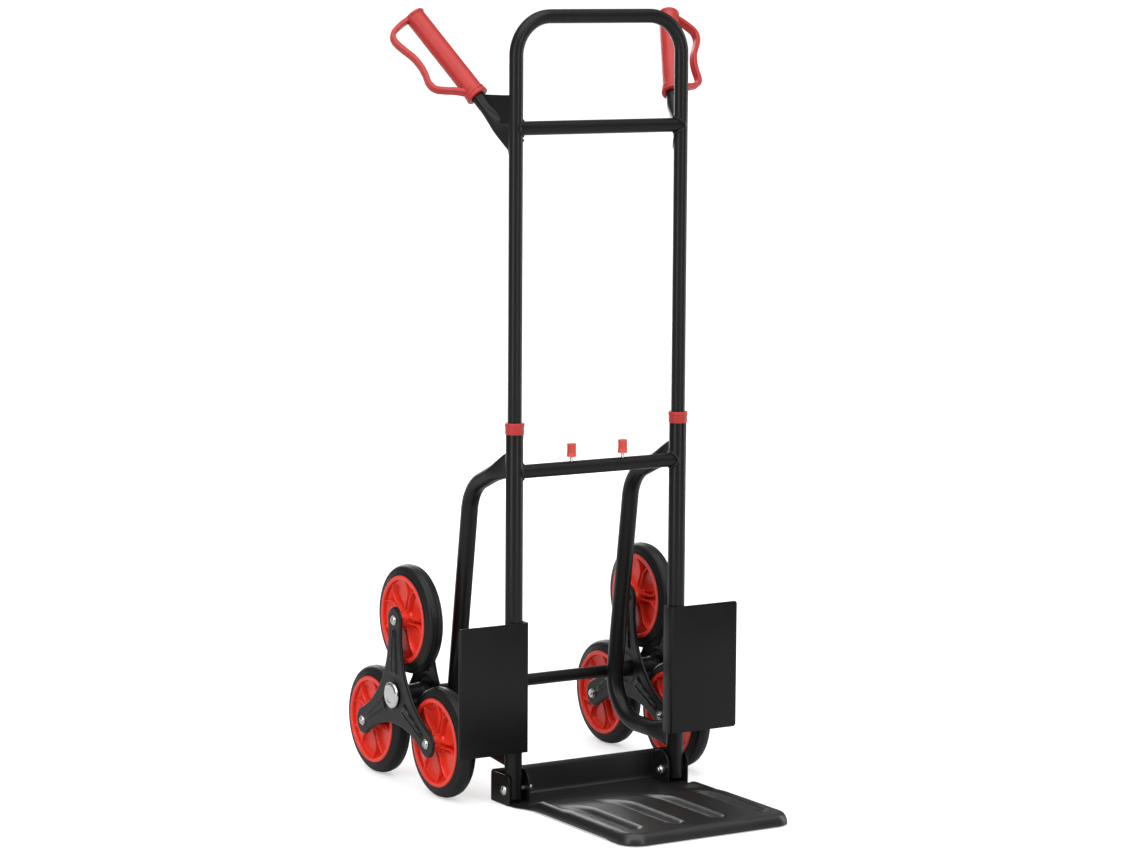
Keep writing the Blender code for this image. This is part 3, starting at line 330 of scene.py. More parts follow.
def tube(shape, path, radius, flat, sides=44, flare=None, ends=(), held=0.0):
    """A tube along a path, whose named ends can be flattened.

    flare is (half width, half depth, length) of such an end, thin along flat; held is how much of
    its length stays fully flattened.
    """
    lengths = [0.0]
    for first, second in zip(path, path[1:]):
        lengths.append(lengths[-1] + (second - first).length)
    wide, thin, reach = flare or (radius, radius, 1.0)
    rings = []
    for index, point in enumerate(path):
        tangent = (path[min(index + 1, len(path) - 1)] - path[max(index - 1, 0)]).normalized()
        normal = (flat - tangent * flat.dot(tangent)).normalized()
        across = tangent.cross(normal)
        nearest = []
        if "start" in ends:
            nearest.append(lengths[index])
        if "end" in ends:
            nearest.append(lengths[-1] - lengths[index])
        share = eased(1 - (min(nearest) - held) / reach) if nearest else 0.0
        half_wide = radius + (wide - radius) * share
        half_thin = radius + (thin - radius) * share
        power = 1 - 0.45 * share  # flattened ends are boxier than an ellipse
        ring = []
        for c, s in circle(sides):
            c = math.copysign(abs(c) ** power, c)
            s = math.copysign(abs(s) ** power, s)
            ring.append(point + across * half_wide * c + normal * half_thin * s)
        rings.append(ring)
    skin(shape, rings)


def weld(shape, points, outward, radius=1.5 * MM):
    """A rippled weld bead along a closed run of points, its ripples standing outward."""
    pitch = 3.2 * MM
    count = len(points)
    rings = []
    run = 0.0
    for i, point in enumerate(points):
        ahead = points[(i + 1) % count]
        tangent = (ahead - points[i - 1]).normalized()
        side = tangent.cross(outward).normalized()
        rise = side.cross(tangent)
        size = radius * (1 + 0.16 * math.sin(2 * math.pi * run / pitch))
        run += (ahead - point).length
        rings.append([point + (side * c + rise * s) * size for c, s in circle(8)])
    loops = skin(shape, rings, capped=False)
    bridge(shape, loops[-1], loops[0])


def weld_round_upright(shape, x, y, radius, center_z, half_height, half_width, direction, slope=0.0):
    """A weld where a flattened end meets an upright and leaves it along the unit (X, Y) direction."""
    leave = Vector((direction[0], direction[1], 0))
    across = Vector((-direction[1], direction[0], 0))
    points = []
    for c, s in circle(64):
        side = half_width * c
        rise = half_height * s
        out = math.sqrt(max(radius**2 - side**2, 0.0))
        points.append(Vector((x, y, center_z + rise + slope * out)) + leave * out + across * side)
    weld(shape, points, leave)


def hexagon(radius):
    return [(radius * c, radius * s) for c, s in circle(6)]


def on_upright(side):
    return Matrix.Translation((side * UPRIGHT.x, UPRIGHT.y, 0))


def outboard_span(node):
    """The least and greatest distance of a node's box from the middle plane."""
    low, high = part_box(node)
    return sorted((abs(low[0]), abs(high[0])))


def along_x(x, y, z, side=1):
    """Local Z points outboard along X."""
    turned = Z_AXIS.rotation_difference(X_AXIS * side).to_matrix().to_4x4()
    return Matrix.Translation((x, y, z)) @ turned


def piece(name, shape, material, body, *nodes, sharp=32):
    """Makes the shape a visible piece that rides on a body and stands for CAD nodes."""
    bmesh.ops.recalc_face_normals(shape, faces=shape.faces)
    mesh = bpy.data.meshes.new(name)
    shape.to_mesh(mesh)
    shape.free()
    mesh.shade_smooth()
    mesh.set_sharp_from_angle(angle=math.radians(sharp))
    made = bpy.data.objects.new(name, mesh)
    bpy.context.scene.collection.objects.link(made)
    mesh.materials.append(material)
    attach(made, body)
    if nodes:
        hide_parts(*nodes)
    return made


def thicken(made, outward, thickness):
    """Turns an open sheet's faces outward and gives it its thickness on their back."""
    facing = sum(face.normal.dot(outward) for face in made.data.polygons)
    if facing < 0:
        made.data.flip_normals()
    solidify = made.modifiers.new("sheet", "SOLIDIFY")
    solidify.thickness = thickness
    solidify.offset = -1


# ---------------------------------------------------------------- lower frame

CROSSBAR_RADIUS = 10 * MM
CROSSBAR_WALL = 1.5 * MM
COPE_OVERLAP = 1 * MM  # how far the crossbars' coped ends enter an upright's wall
AXLE_RADIUS = 9 * MM
INTO_WALL = 1.7 * MM  # the loops' ends reach this far in, short of the sliding inner tube
SLOT_HALF_LENGTH = 13.5 * MM
SLOT_HALF_WIDTH = 3.3 * MM
SLOT_X = 36.5 * MM
GUARD_SHEET = 2 * MM
LOOP_RAKE = math.radians(8.2)
LOOP_TOP_SLOPE = math.tan(math.radians(22.8))
LOOP_TOP_Z = 489 * MM
LOOP_TOP_BEND = 60 * MM
LOOP_LOWER_BEND = 65 * MM


def lower_uprights():
    for name, side in SIDES:
        low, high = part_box(f"{name}_lower_upright")
        shape = bmesh.new()
        bore = LOWER_RADIUS - 1.5 * MM
        corners = [(bore, low[2]), (LOWER_RADIUS, low[2]), (LOWER_RADIUS, high[2]), (bore, high[2])]
        lathe(shape, corners, 0.4 * MM, 2, on_upright(side), 56)
        piece(f"{name}_upright_tube", shape, TUBE_PAINT, "lower_frame", f"{name}_lower_upright")


def collars():
    for name, side in SIDES:
        low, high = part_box(f"{name}_collar")
        lip = 2.6 * MM
        outer = (high[0] - low[0]) / 2
        bore = UPPER_RADIUS + 0.4 * MM
        corners = [
            (bore, low[2]), (outer - 0.7 * MM, low[2]), (outer - 0.5 * MM, high[2] - 2 * lip),
            (outer, high[2] - 1.7 * lip), (outer, high[2] - 0.3 * lip), (outer - 1.2 * MM, high[2]),
            (bore, high[2]),
        ]
        shape = bmesh.new()
        lathe(shape, corners, 0.6 * MM, 3, on_upright(side), 64)
        piece(f"{name}_red_collar", shape, GRIP, "lower_frame", f"{name}_collar")


def crossbar(node, body, upright_radius, slots):
    """A round tube between the uprights, with its ends coped to their curve, under weld beads."""
    center = middle(node)

    def around(radius, share, into):
        """A ring round the bar, this share of the way from its middle to a coped end."""
        ring = []
        for c, s in circle(48):
            off = radius * c
            end = UPRIGHT.x - math.sqrt(max(upright_radius**2 - off**2, 0.0)) + into
            ring.append(Vector((end * share, center.y + off, center.z + radius * s)))
        return ring

    shape = bmesh.new()
    shares = [step / 20 for step in range(-20, 21)]
    bore = CROSSBAR_RADIUS - CROSSBAR_WALL
    rings = [around(CROSSBAR_RADIUS, share, COPE_OVERLAP) for share in shares]
    rings += [around(bore, share, COPE_OVERLAP) for share in reversed(shares)]
    skins = skin(shape, rings, capped=False)
    bridge(shape, skins[-1], skins[0])
    made = piece(f"{node}_tube", shape, TUBE_PAINT, body, node)
    beads = bmesh.new()
    for side in (-1, 1):
        weld(beads, around(CROSSBAR_RADIUS + 1.0 * MM, side, 0.0), -side * X_AXIS, 2.1 * MM)
    piece(f"{node}_welds", beads, TUBE_PAINT, body)
    if slots:
        for side in (-1, 1):
            cutter = bmesh.new()
            ends = []
            for c, s in circle(24):
                straight = math.copysign(SLOT_HALF_LENGTH - SLOT_HALF_WIDTH, c)
                ends.append((straight + SLOT_HALF_WIDTH * c, SLOT_HALF_WIDTH * s))
            place = Matrix.Translation((side * SLOT_X, center.y, center.z + 9 * MM))
            slab(cutter, ends, 12 * MM, place, 0.01 * MM)
            carve(made, cutter)


def carve(target, cutter_shape):
    """Cuts the shape out of the target's mesh."""
    bmesh.ops.recalc_face_normals(cutter_shape, faces=cutter_shape.faces)
    mesh = bpy.data.meshes.new("cutter")
    cutter_shape.to_mesh(mesh)
    cutter_shape.free()
    cutter = bpy.data.objects.new("cutter", mesh)
    bpy.context.scene.collection.objects.link(cutter)
    modifier = target.modifiers.new("cut", "BOOLEAN")
    modifier.operation = "DIFFERENCE"
    modifier.object = cutter
    bpy.context.view_layer.update()
    graph = bpy.context.evaluated_depsgraph_get()
    cut = bpy.data.meshes.new_from_object(target.evaluated_get(graph))
    target.modifiers.remove(modifier)
    target.data = cut
    bpy.data.objects.remove(cutter, do_unlink=True)
    cut.shade_smooth()
    cut.set_sharp_from_angle(angle=math.radians(32))


def loops():
    low_z = AXLE.z - LOOP_LOWER_BEND
    bend_y = AXLE.y - AXLE_RADIUS - 0.3 * MM - LOWER_RADIUS - LOOP_LOWER_BEND
    low_corner_y = bend_y + LOOP_LOWER_BEND * math.tan((math.pi / 2 + LOOP_RAKE) / 2)
    face_y = UPRIGHT.y + LOWER_RADIUS
    rake = math.tan(LOOP_RAKE)
    fall = LOOP_TOP_SLOPE * (low_corner_y - face_y)
    rise = (LOOP_TOP_Z - low_z - fall) / (1 - LOOP_TOP_SLOPE * rake)
    for name, side in SIDES:
        x = side * UPRIGHT.x
        corners = (
            (x, face_y - INTO_WALL, LOOP_TOP_Z + LOOP_TOP_SLOPE * INTO_WALL),
            (x, low_corner_y - rake * rise, low_z + rise), (x, low_corner_y, low_z),
            (x, face_y - INTO_WALL, low_z),
        )
        path = refined(rounded_path(corners, (LOOP_TOP_BEND, LOOP_LOWER_BEND), 22), 5 * MM)
        shape = bmesh.new()
        tube(shape, path, LOWER_RADIUS, X_AXIS, 44, (17.5 * MM, 6 * MM, 54 * MM), BOTH_ENDS)
        ends = ((LOOP_TOP_Z, 18.8 * MM, LOOP_TOP_SLOPE * 0.2), (low_z, 17.6 * MM, 0.0))
        for center_z, half_height, slope in ends:
            weld_round_upright(
                shape, x, UPRIGHT.y, LOWER_RADIUS, center_z, half_height, 6.3 * MM, (0, 1), -slope
            )
        touch = Vector((x, AXLE.y - AXLE_RADIUS, AXLE.z))
        for lift in (-1, 1):
            middle_z = lift * 5 * MM
            seam = [
                touch + Vector((8 * MM * c, -0.5 * MM, middle_z + 1.2 * MM * s)) for c, s in circle(40)
            ]
            weld(shape, seam, Z_AXIS, 1.6 * MM)
        piece(f"{name}_loop_tube", shape, TUBE_PAINT, "lower_frame", f"{name}_axle_loop")


def axle():
    low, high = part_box("axle")
    half = (high[0] - low[0]) / 2
    journal = 7 * MM
    radius = (high[2] - low[2]) / 2
    shoulder = 157.7 * MM
    corners = [(0, half), (journal, half), (journal, shoulder), (radius, shoulder)]
    shape = bmesh.new()
    lathe(shape, corners + mirrored(corners), 0.8 * MM, 3, along_x(0, AXLE.y, AXLE.z), 48, closed=False)
    piece("axle_bar", shape, TUBE_PAINT, "lower_frame", "axle")


def guard_plates():
    """A flat shield whose inboard edge is bent back on a small radius."""
    for name, side in SIDES:
        low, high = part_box(f"{name}_guard_plate")
        bend = 3 * MM
        near, far = (low[0], high[0]) if side > 0 else (high[0], low[0])
        front, back = low[1], high[1]
        run = [(near, back)]
        for angle in quarter(6):
            x = near + side * bend * (1 - math.cos(angle))
            run.append((x, front + bend * (1 - math.sin(angle))))
        corner = 4.5 * MM
        shape = bmesh.new()
        columns = [[(x, y, low[2]), (x, y, high[2])] for x, y in run]
        for angle in quarter(8):
            x = far - side * corner * (1 - math.sin(angle))
            drop = corner * (1 - math.cos(angle))
            columns.append([(x, front, low[2] + drop), (x, front, high[2] - drop)])
        verts = [[shape.verts.new(point) for point in column] for column in columns]
        for first, second in zip(verts, verts[1:]):
            shape.faces.new((first[0], second[0], second[1], first[1]))
        made = piece(f"{name}_guard_sheet", shape, SHEET_PAINT, "lower_frame", f"{name}_guard_plate")
        thicken(made, -Y_AXIS, GUARD_SHEET)
        bevel = made.modifiers.new("rim", "BEVEL")
        bevel.width = 0.5 * MM
        bevel.segments = 2
        bevel.limit_method = "ANGLE"
        bevel.angle_limit = math.radians(50)
        # Stitch welds hold the sheet on the front of the upright.
        beads = bmesh.new()
        for center_z in (low[2] + 20 * MM, (low[2] + high[2]) / 2, high[2] - 20 * MM):
            for edge in (-1, 1):
                bead_x = side * UPRIGHT.x + edge * 6.0 * MM
                bead_y = front + GUARD_SHEET + 0.6 * MM
                seam = [
                    Vector((bead_x + 0.7 * MM * c, bead_y, center_z + 11 * MM * s)) for c, s in circle(28)
                ]
                weld(beads, seam, Y_AXIS, 1.3 * MM)
        piece(f"{name}_guard_welds", beads, TUBE_PAINT, "lower_frame")


def latches():
    """The thumb knobs, with three grooves round each and a small foot."""
    for name, _ in SIDES:
        low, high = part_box(f"{name}_latch_knob")
        center = middle(f"{name}_latch_knob")
        radius = 6.8 * MM
        shape = bmesh.new()
        groove = radius - 0.7 * MM
        foot = radius + 0.8 * MM
        profile = [
            (0, high[2] - 0.3 * MM), (radius * 0.45, high[2] - 0.1 * MM), (radius - 1.3 * MM, high[2]),
            (radius - 0.3 * MM, high[2] - 0.5 * MM), (radius, high[2] - 1.6 * MM),
        ]
        for down in (4.6 * MM, 8.2 * MM, 11.8 * MM):
            level = high[2] - down
            profile += [
                (radius, level + 0.9 * MM), (groove, level + 0.3 * MM), (groove, level - 0.3 * MM),
                (radius, level - 0.9 * MM),
            ]
        profile += [
            (radius, low[2] + 2.2 * MM), (foot, low[2] + 1.1 * MM), (foot, low[2] + 0.2 * MM),
            (radius + 0.5 * MM, low[2]), (0, low[2]),
        ]
        turn(shape, profile, Matrix.Translation((center.x, center.y, 0)), 48)
        piece(f"{name}_thumb_knob", shape, KNOB, f"{name}_latch", f"{name}_latch_knob", sharp=40)


# ---------------------------------------------------------------- telescopic handle frame

TOP_BEND = 55 * MM
GRIP_START = Vector((163.5, 60.9, 1005.7)) * MM  # from the foot of the right upright
GRIP_AXIS = Vector((0.333, 0.601, 0.726)).normalized()
STRAP_SIDE = Vector((0.920, -0.040, -0.390))
GRIP_LENGTH = 156 * MM
GRIP_RADIUS = 14.5 * MM
STRAP_REACH = 0.94 * MM  # brings the strap's path, below, inside the CAD box
STRAP_PATH = (
    (10, 8), (22, 22.5), (31.5, 39), (40, 50), (52, 52.5), (66, 48), (80, 45.5), (96, 46), (112, 50.5),
    (126, 54), (137, 53), (144.5, 46.5), (150, 28), (152.5, 8),
)


def handle_basis(side):
    mirror = Vector((side, 1, 1))
    start = (GRIP_START + Vector((0, UPRIGHT.y, 0))) * mirror
    along = GRIP_AXIS * mirror
    out = STRAP_SIDE * mirror
    out = (out - along * out.dot(along)).normalized()
    return start, out.cross(along), out, along


def handle_frame():
    low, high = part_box("handle_frame")
    top = high[2] - UPPER_RADIUS
    x = UPRIGHT.x
    ends = ((-x, low[2]), (-x, top), (x, top), (x, low[2]))
    corners = [(end_x, UPRIGHT.y, z) for end_x, z in ends]
    path = refined(rounded_path(corners, (TOP_BEND, TOP_BEND), 28), 40 * MM)
    shape = bmesh.new()
    tube(shape, path, UPPER_RADIUS, Y_AXIS)
    piece("handle_frame_tube", shape, TUBE_PAINT, "handle_assembly", "handle_frame")


def handle_tubes():
    for name, side in SIDES:
        start, _, _, along = handle_basis(side)
        thin = along.cross(Z_AXIS).normalized()
        foot, top = -94 * MM, 140 * MM
        path = refined([start + along * foot, start + along * top], 3 * MM)
        shape = bmesh.new()
        tube(shape, path, UPPER_RADIUS, thin, 40, (14.2 * MM, 4.4 * MM, 44 * MM), ("start",), 32 * MM)
        level = Vector((start.x - side * UPRIGHT.x, start.y - UPRIGHT.y, 0)).normalized()
        climb = along.z / along.to_2d().length
        reach = (start - Vector((side * UPRIGHT.x, UPRIGHT.y, start.z))).length
        weld_round_upright(
            shape, side * UPRIGHT.x, UPRIGHT.y, UPPER_RADIUS, start.z - reach * climb, 19 * MM, 5.0 * MM,
            (level.x, level.y), climb,
        )
        piece(f"{name}_handle_arm", shape, TUBE_PAINT, "handle_assembly", f"{name}_handle_tube")


def gussets():
    """The flat web between each handle tube and its upright."""
    for name, side in SIDES:
        low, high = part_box(f"{name}_handle_gusset")
        start, _, _, along = handle_basis(side)
        foot = Vector((side * UPRIGHT.x, UPRIGHT.y, 0))

        def reach(z, inset):
            point = start + along * ((z - start.z) / along.z)
            return (point - foot).to_2d().length - inset / along.z

        top, bottom = high[2], low[2]
        near = 8 * MM
        outline = [
            (near, top), (reach(top, 8 * MM), top), (reach(bottom, 4 * MM), bottom), (near, bottom),
        ]
        level = (start - foot).to_2d().normalized()
        place = axes((level.x, level.y, 0), Z_AXIS, (-level.y, level.x, 0), foot)
        shape = bmesh.new()
        slab(shape, soften(outline, 1.5 * MM, 3), 2.5 * MM, place, 0.4 * MM)
        for face in (-1, 1):
            seam = []
            for c, s in circle(40):
                height = (top + bottom) / 2 + (top - bottom) * 0.46 * s
                seam.append(place @ Vector((10.4 * MM + 0.5 * MM * c, height, face * 1.3 * MM)))
            weld(shape, seam, Vector((level.x, level.y, 0)), 1.1 * MM)
        piece(f"{name}_web", shape, SHEET_PAINT, "handle_assembly", f"{name}_handle_gusset")


def smooth_run(points, steps=6):
    """A smooth curve through points, by Bezier stretches with Catmull-Rom tangents."""
    points = [Vector(point) for point in points]
    made = []
    for index in range(len(points) - 1):
        before = points[max(index - 1, 0)]
        first, second = points[index], points[index + 1]
        after = points[min(index + 2, len(points) - 1)]
        leave, arrive = first + (second - before) / 6, second - (after - first) / 6
        made += interpolate_bezier(first, leave, arrive, second, steps)[:-1]
    made.append(points[-1])
    return made


def grips():
    """Moulded grips: a plain barrel, a rolled end, a two-step collar and a looped finger guard."""
    for name, side in SIDES:
        start, across, out, along = handle_basis(side)
        place = axes(across, out, along, start)
        bore = UPPER_RADIUS + 0.3 * MM
        barrel = GRIP_RADIUS
        length = GRIP_LENGTH
        corners = [
            (0, length), (barrel - 2 * MM, length), (barrel + 1.1 * MM, length - 1.4 * MM),
            (barrel + 1.1 * MM, length - 4.2 * MM), (barrel - 0.1 * MM, length - 6.2 * MM),
            (barrel, 12.5 * MM), (barrel + 1.3 * MM, 11 * MM), (barrel + 1.3 * MM, 7.2 * MM),
            (barrel + 0.6 * MM, 6.2 * MM), (barrel + 2 * MM, 4.6 * MM), (barrel + 2 * MM, 1.0 * MM),
            (barrel + 1 * MM, 0), (bore, 0), (bore, 8 * MM),
        ]
        shape = bmesh.new()
        lathe(shape, corners, 1.0 * MM, 4, place, 72, closed=False)
        run = smooth_run([(0, y * STRAP_REACH, z * MM) for z, y in STRAP_PATH])
        section = soften([(6.5, 3.4), (-6.5, 3.4), (-6.5, -3.4), (6.5, -3.4)], 1.9, 4)
        rings = []
        for index, point in enumerate(run):
            tangent = (run[min(index + 1, len(run) - 1)] - run[max(index - 1, 0)]).normalized()
            normal = tangent.cross(X_AXIS)
            # The strap is deepest where it leaves the barrel and slimmest at its middle.
            end_share = eased(abs(2 * index / (len(run) - 1) - 1) * 1.6 - 0.6)
            width = (0.90 + 0.10 * end_share) * MM
            rings.append([
                place @ (point + X_AXIS * offset.x * width + normal * offset.y * MM) for offset in section
            ])
        skin(shape, rings)
        piece(f"{name}_red_grip", shape, GRIP, "handle_assembly", f"{name}_grip", sharp=40)


# ---------------------------------------------------------------- toe plate

TOE_CHEEK_HALF = 151.8 * MM
TOE_WAIST_HALF = 138.5 * MM
TOE_FRONT = 309 * MM
TOE_CORNER = 30 * MM
TOE_ROLL = 11 * MM
CHEEK_SHEET = 2 * MM
TOE_BACK = 34.5 * MM  # the back lip's face, behind the uprights' axis
TOE_REAR_Z = 3.5 * MM
TOE_FRONT_Z = 17.8 * MM
BEAD_CENTERS = (-104 * MM, -35 * MM, 35 * MM, 104 * MM)
BEAD_HALF = 14 * MM
BEAD_DEPTH = 9.0 * MM
BEAD_END = 276 * MM


def toe_straight_half(ahead):
    narrowing = ramp(ahead, 14.5 * MM, 62 * MM)
    return TOE_CHEEK_HALF + (TOE_WAIST_HALF - TOE_CHEEK_HALF) * narrowing


def toe_half(ahead):
    into = ahead - (TOE_FRONT - TOE_CORNER)
    half = toe_straight_half(ahead)
    if into <= 0:
        return half
    return half - TOE_CORNER + math.sqrt(max(TOE_CORNER**2 - into**2, 0.0))


def toe_edge_distance(x, ahead):
    half = toe_straight_half(ahead)
    into_x = abs(x) - (half - TOE_CORNER)
    into_y = ahead - (TOE_FRONT - TOE_CORNER)
    if into_x > 0 and into_y > 0:
        return TOE_CORNER - math.hypot(into_x, into_y)
    return min(half - abs(x), TOE_FRONT - ahead)


def toe_bead(x, ahead):
    """Depth of the pressed channels, which fade in from the rear and end in round noses."""
    depth = 0.0
    fade = ramp(ahead, 34 * MM, 150 * MM)
    for center in BEAD_CENTERS:
        off = abs(x - center)
        past = max(ahead - (BEAD_END - BEAD_HALF), 0.0)
        share = math.hypot(off, past) / BEAD_HALF
        depth = max(depth, eased((1 - share) / 0.80))
    return BEAD_DEPTH * fade * depth


def toe_z(x, ahead):
    rise = ramp(ahead, 22 * MM, 150 * MM)
    inside = max(toe_edge_distance(x, ahead), 0.0)
    margin = ramp(inside, 30 * MM, 10 * MM) * ramp(ahead, 30 * MM, 70 * MM)
    top = TOE_REAR_Z + (TOE_FRONT_Z - TOE_REAR_Z) * max(rise, 0.9 * margin)
    if inside >= TOE_ROLL:
        return top - toe_bead(x, ahead)
    drop = 1 - math.sqrt(max(1 - (1 - inside / TOE_ROLL) ** 2, 0.0))
    # The sides' hem is a little higher than the front's and steps down to it short of each corner.
    side_share = ramp(ahead, 40 * MM, 100 * MM) * ramp(ahead, 262 * MM, 248 * MM)
    hem = (1.6 + 1.4 * side_share) * MM
    return top - drop * (top - hem)


def toe_plate():
    rolled = (1.0, 0.85, 0.7, 0.55, 0.42, 0.3, 0.2, 0.12, 0.06, 0.02, 0.0)
    rows = [33.5 * MM * (step / 8 - 1) for step in range(8)]
    rows += [(TOE_FRONT - TOE_ROLL) * step / 84 for step in range(84)]
    rows += [TOE_FRONT - TOE_ROLL * share for share in rolled]
    inner = TOE_WAIST_HALF - TOE_ROLL
    columns = [inner * step / 44 for step in range(-44, 45)][1:-1]
    edge = [TOE_WAIST_HALF - TOE_ROLL * share for share in rolled]
    columns = [-x for x in reversed(edge)] + columns + edge
    kept = 60 * MM
    shape = bmesh.new()
    grid = []
    lip_half = TOE_CHEEK_HALF - 0.8 * MM
    low_z = toe_z(0, rows[0])
    back_y = UPRIGHT.y + TOE_BACK
    fold = 4 * MM
    lip_columns = [x * lip_half / TOE_WAIST_HALF for x in columns]
    for level in range(46, 9, -6):
        grid.append([Vector((x, back_y, level * MM)) for x in lip_columns])
    for angle in quarter(6)[1:-1]:
        y = back_y - fold * (1 - math.cos(angle))
        z = low_z + fold * (1 - math.sin(angle))
        grid.append([Vector((x, y, z)) for x in lip_columns])
    for ahead in rows:
        if UPRIGHT.y - ahead > back_y - fold:
            continue
        stretch = (toe_half(ahead) - kept) / (TOE_WAIST_HALF - kept)
        line = []
        for column in columns:
            size = abs(column)
            if size > kept:
                size = kept + (size - kept) * stretch
            x = math.copysign(size, column)
            line.append(Vector((x, UPRIGHT.y - ahead, toe_z(x, ahead))))
        grid.append(line)
    verts = [[shape.verts.new(point) for point in line] for line in grid]
    for near, far in zip(verts, verts[1:]):
        for i in range(len(near) - 1):
            shape.faces.new((near[i], far[i], far[i + 1], near[i + 1]))
    made = piece("toe_sheet", shape, TOE_PAINT, "toe_assembly", "toe_plate", sharp=50)
    thicken(made, Z_AXIS, 1.8 * MM)


def cheek_outline(ahead, behind, bottom, top, front_corner, back_corner, foot_corner):
    front, back = UPRIGHT.y - ahead, UPRIGHT.y + behind
    corners = (
        ((front, bottom), foot_corner), ((back, bottom), foot_corner), ((back, top), back_corner),
        ((front, top), front_corner),
    )
    outline = []
    count = len(corners)
    for index, (corner, radius) in enumerate(corners):
        before = Vector(corners[index - 1][0])
        after = Vector(corners[(index + 1) % count][0])
        corner = Vector(corner)
        start = corner + (before - corner).normalized() * radius
        end = corner + (after - corner).normalized() * radius
        center = start + end - corner
        for angle in quarter(10):
            swing = (start - center) * math.cos(angle) + (end - center) * math.sin(angle)
            outline.append(center + swing)
    return outline


def in_side_plane(x):
    """Local XY drawn as (Y, Z), with local Z along X."""
    return axes(Y_AXIS, Z_AXIS, X_AXIS, (x, 0, 0))


def cheeks(name, outer_x):
    """The outer cheek, a part of the toe plate's sheet, and the separate inner one."""
    outline = cheek_outline(14.5 * MM, 37.5 * MM, 0.6 * MM, 44.5 * MM, 11 * MM, 3 * MM, 3 * MM)
    shape = bmesh.new()
    slab(shape, outline, CHEEK_SHEET, in_side_plane(outer_x))
    piece(f"{name}_outer_cheek_sheet", shape, SHEET_PAINT, "toe_assembly")
    low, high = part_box(f"{name}_inner_cheek")
    outline = cheek_outline(
        UPRIGHT.y - low[1], high[1] - UPRIGHT.y, low[2] - 1.2 * MM, high[2], 21 * MM, 21 * MM, 1 * MM
    )
    shape = bmesh.new()
    slab(shape, outline, CHEEK_SHEET, in_side_plane(middle(f"{name}_inner_cheek").x))
    piece(f"{name}_inner_cheek_sheet", shape, SHEET_PAINT, "toe_assembly", f"{name}_inner_cheek")


def pivot_bolt(name, side, face):
    """A round-headed bolt whose washer sits on the outer cheek's face."""
    pivot = middle(f"{name}_pivot_bolt")
    inner_end, outer_end = outboard_span(f"{name}_pivot_bolt")
    head, radius, shank = outer_end - face, 6.4 * MM, 4 * MM
    washer = face + 0.9 * MM
    profile = [(0, face + head)] + [
        (radius * math.sin(a), washer + (head - 0.9 * MM) * math.cos(a)) for a in quarter(8)[1:]
    ]
    profile += [
        (radius, washer), (7.0 * MM, washer), (7.0 * MM, face), (shank, face),
        (shank, inner_end + 0.6 * MM), (3.4 * MM, inner_end), (0, inner_end),
    ]
    shape = bmesh.new()
    turn(shape, profile, along_x(0, pivot.y, pivot.z, side), 48)
    piece(f"{name}_pivot_carriage_bolt", shape, ZINC, "toe_assembly", f"{name}_pivot_bolt")


def pivot_nut(name, side):
    """A hexagon nut with a low lock collar on its inboard face."""
    low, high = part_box(f"{name}_pivot_nut")
    nut = middle(f"{name}_pivot_nut")
    thickness = high[0] - low[0]
    shape = bmesh.new()
    slab(
        shape, soften(hexagon(7.4 * MM), 0.8 * MM, 2), thickness * 0.7,
        along_x(nut.x + side * thickness * 0.12, nut.y, nut.z, side), 0.5 * MM,
    )
    collar = [
        (0, thickness * 0.15), (5.4 * MM, thickness * 0.15), (5.2 * MM, -thickness * 0.05),
        (4.4 * MM, -thickness * 0.2), (0, -thickness * 0.2),
    ]
    turn(shape, collar, along_x(nut.x - side * thickness * 0.3, nut.y, nut.z, side), 32)
    piece(f"{name}_pivot_lock_nut", shape, ZINC, "toe_assembly", f"{name}_pivot_nut")


def toe_fittings():
    for name, side in SIDES:
        outer_x = side * (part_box("toe_plate")[1][0] - CHEEK_SHEET / 2)
        cheeks(name, outer_x)
        pivot_bolt(name, side, abs(outer_x) + CHEEK_SHEET / 2)
        pivot_nut(name, side)


# ---------------------------------------------------------------- stars and wheels

STAR_ARM = 110 * MM
ARM_END = 20.5 * MM
WAIST = 43.5 * MM
ARM_ANGLES = (90.0, 210.0, 330.0)
BRACKET_SHEET = 2.6 * MM
HUB_BORE = 7.2 * MM
INSET = WAIST - ARM_END
HOLLOW_REACH = (STAR_ARM**2 - INSET**2) / (STAR_ARM - 2 * INSET)
HOLLOW_RADIUS = HOLLOW_REACH - WAIST


def arm_half_width(u):
    """Half width of one arm's share of the star at this distance from the centre."""
    center_u = HOLLOW_REACH / 2
    center_v = HOLLOW_REACH * math.sin(math.radians(60))
    to_hollow = Vector((center_u - STAR_ARM, center_v))
    tangent_u = STAR_ARM + to_hollow.normalized().x * ARM_END
    if u >= tangent_u:
        return math.sqrt(max(ARM_END**2 - (u - STAR_ARM) ** 2, 0.0))
    bisector = u * math.tan(math.radians(60))
    if u <= WAIST / 2:
        return bisector
    return min(bisector, center_v - math.sqrt(max(HOLLOW_RADIUS**2 - (u - center_u) ** 2, 0.0)))


def star_edge_distance(u, v):
    tip = Vector((u - STAR_ARM, abs(v)))
    lean = math.atan2(HOLLOW_REACH * math.sin(math.radians(60)), HOLLOW_REACH / 2 - STAR_ARM)
    if math.atan2(tip.y, tip.x) < lean and tip.length > 1e-9:
        return ARM_END - tip.length
    hollow = Vector((HOLLOW_REACH / 2, HOLLOW_REACH * math.sin(math.radians(60))))
    return (Vector((u, abs(v))) - hollow).length - HOLLOW_RADIUS


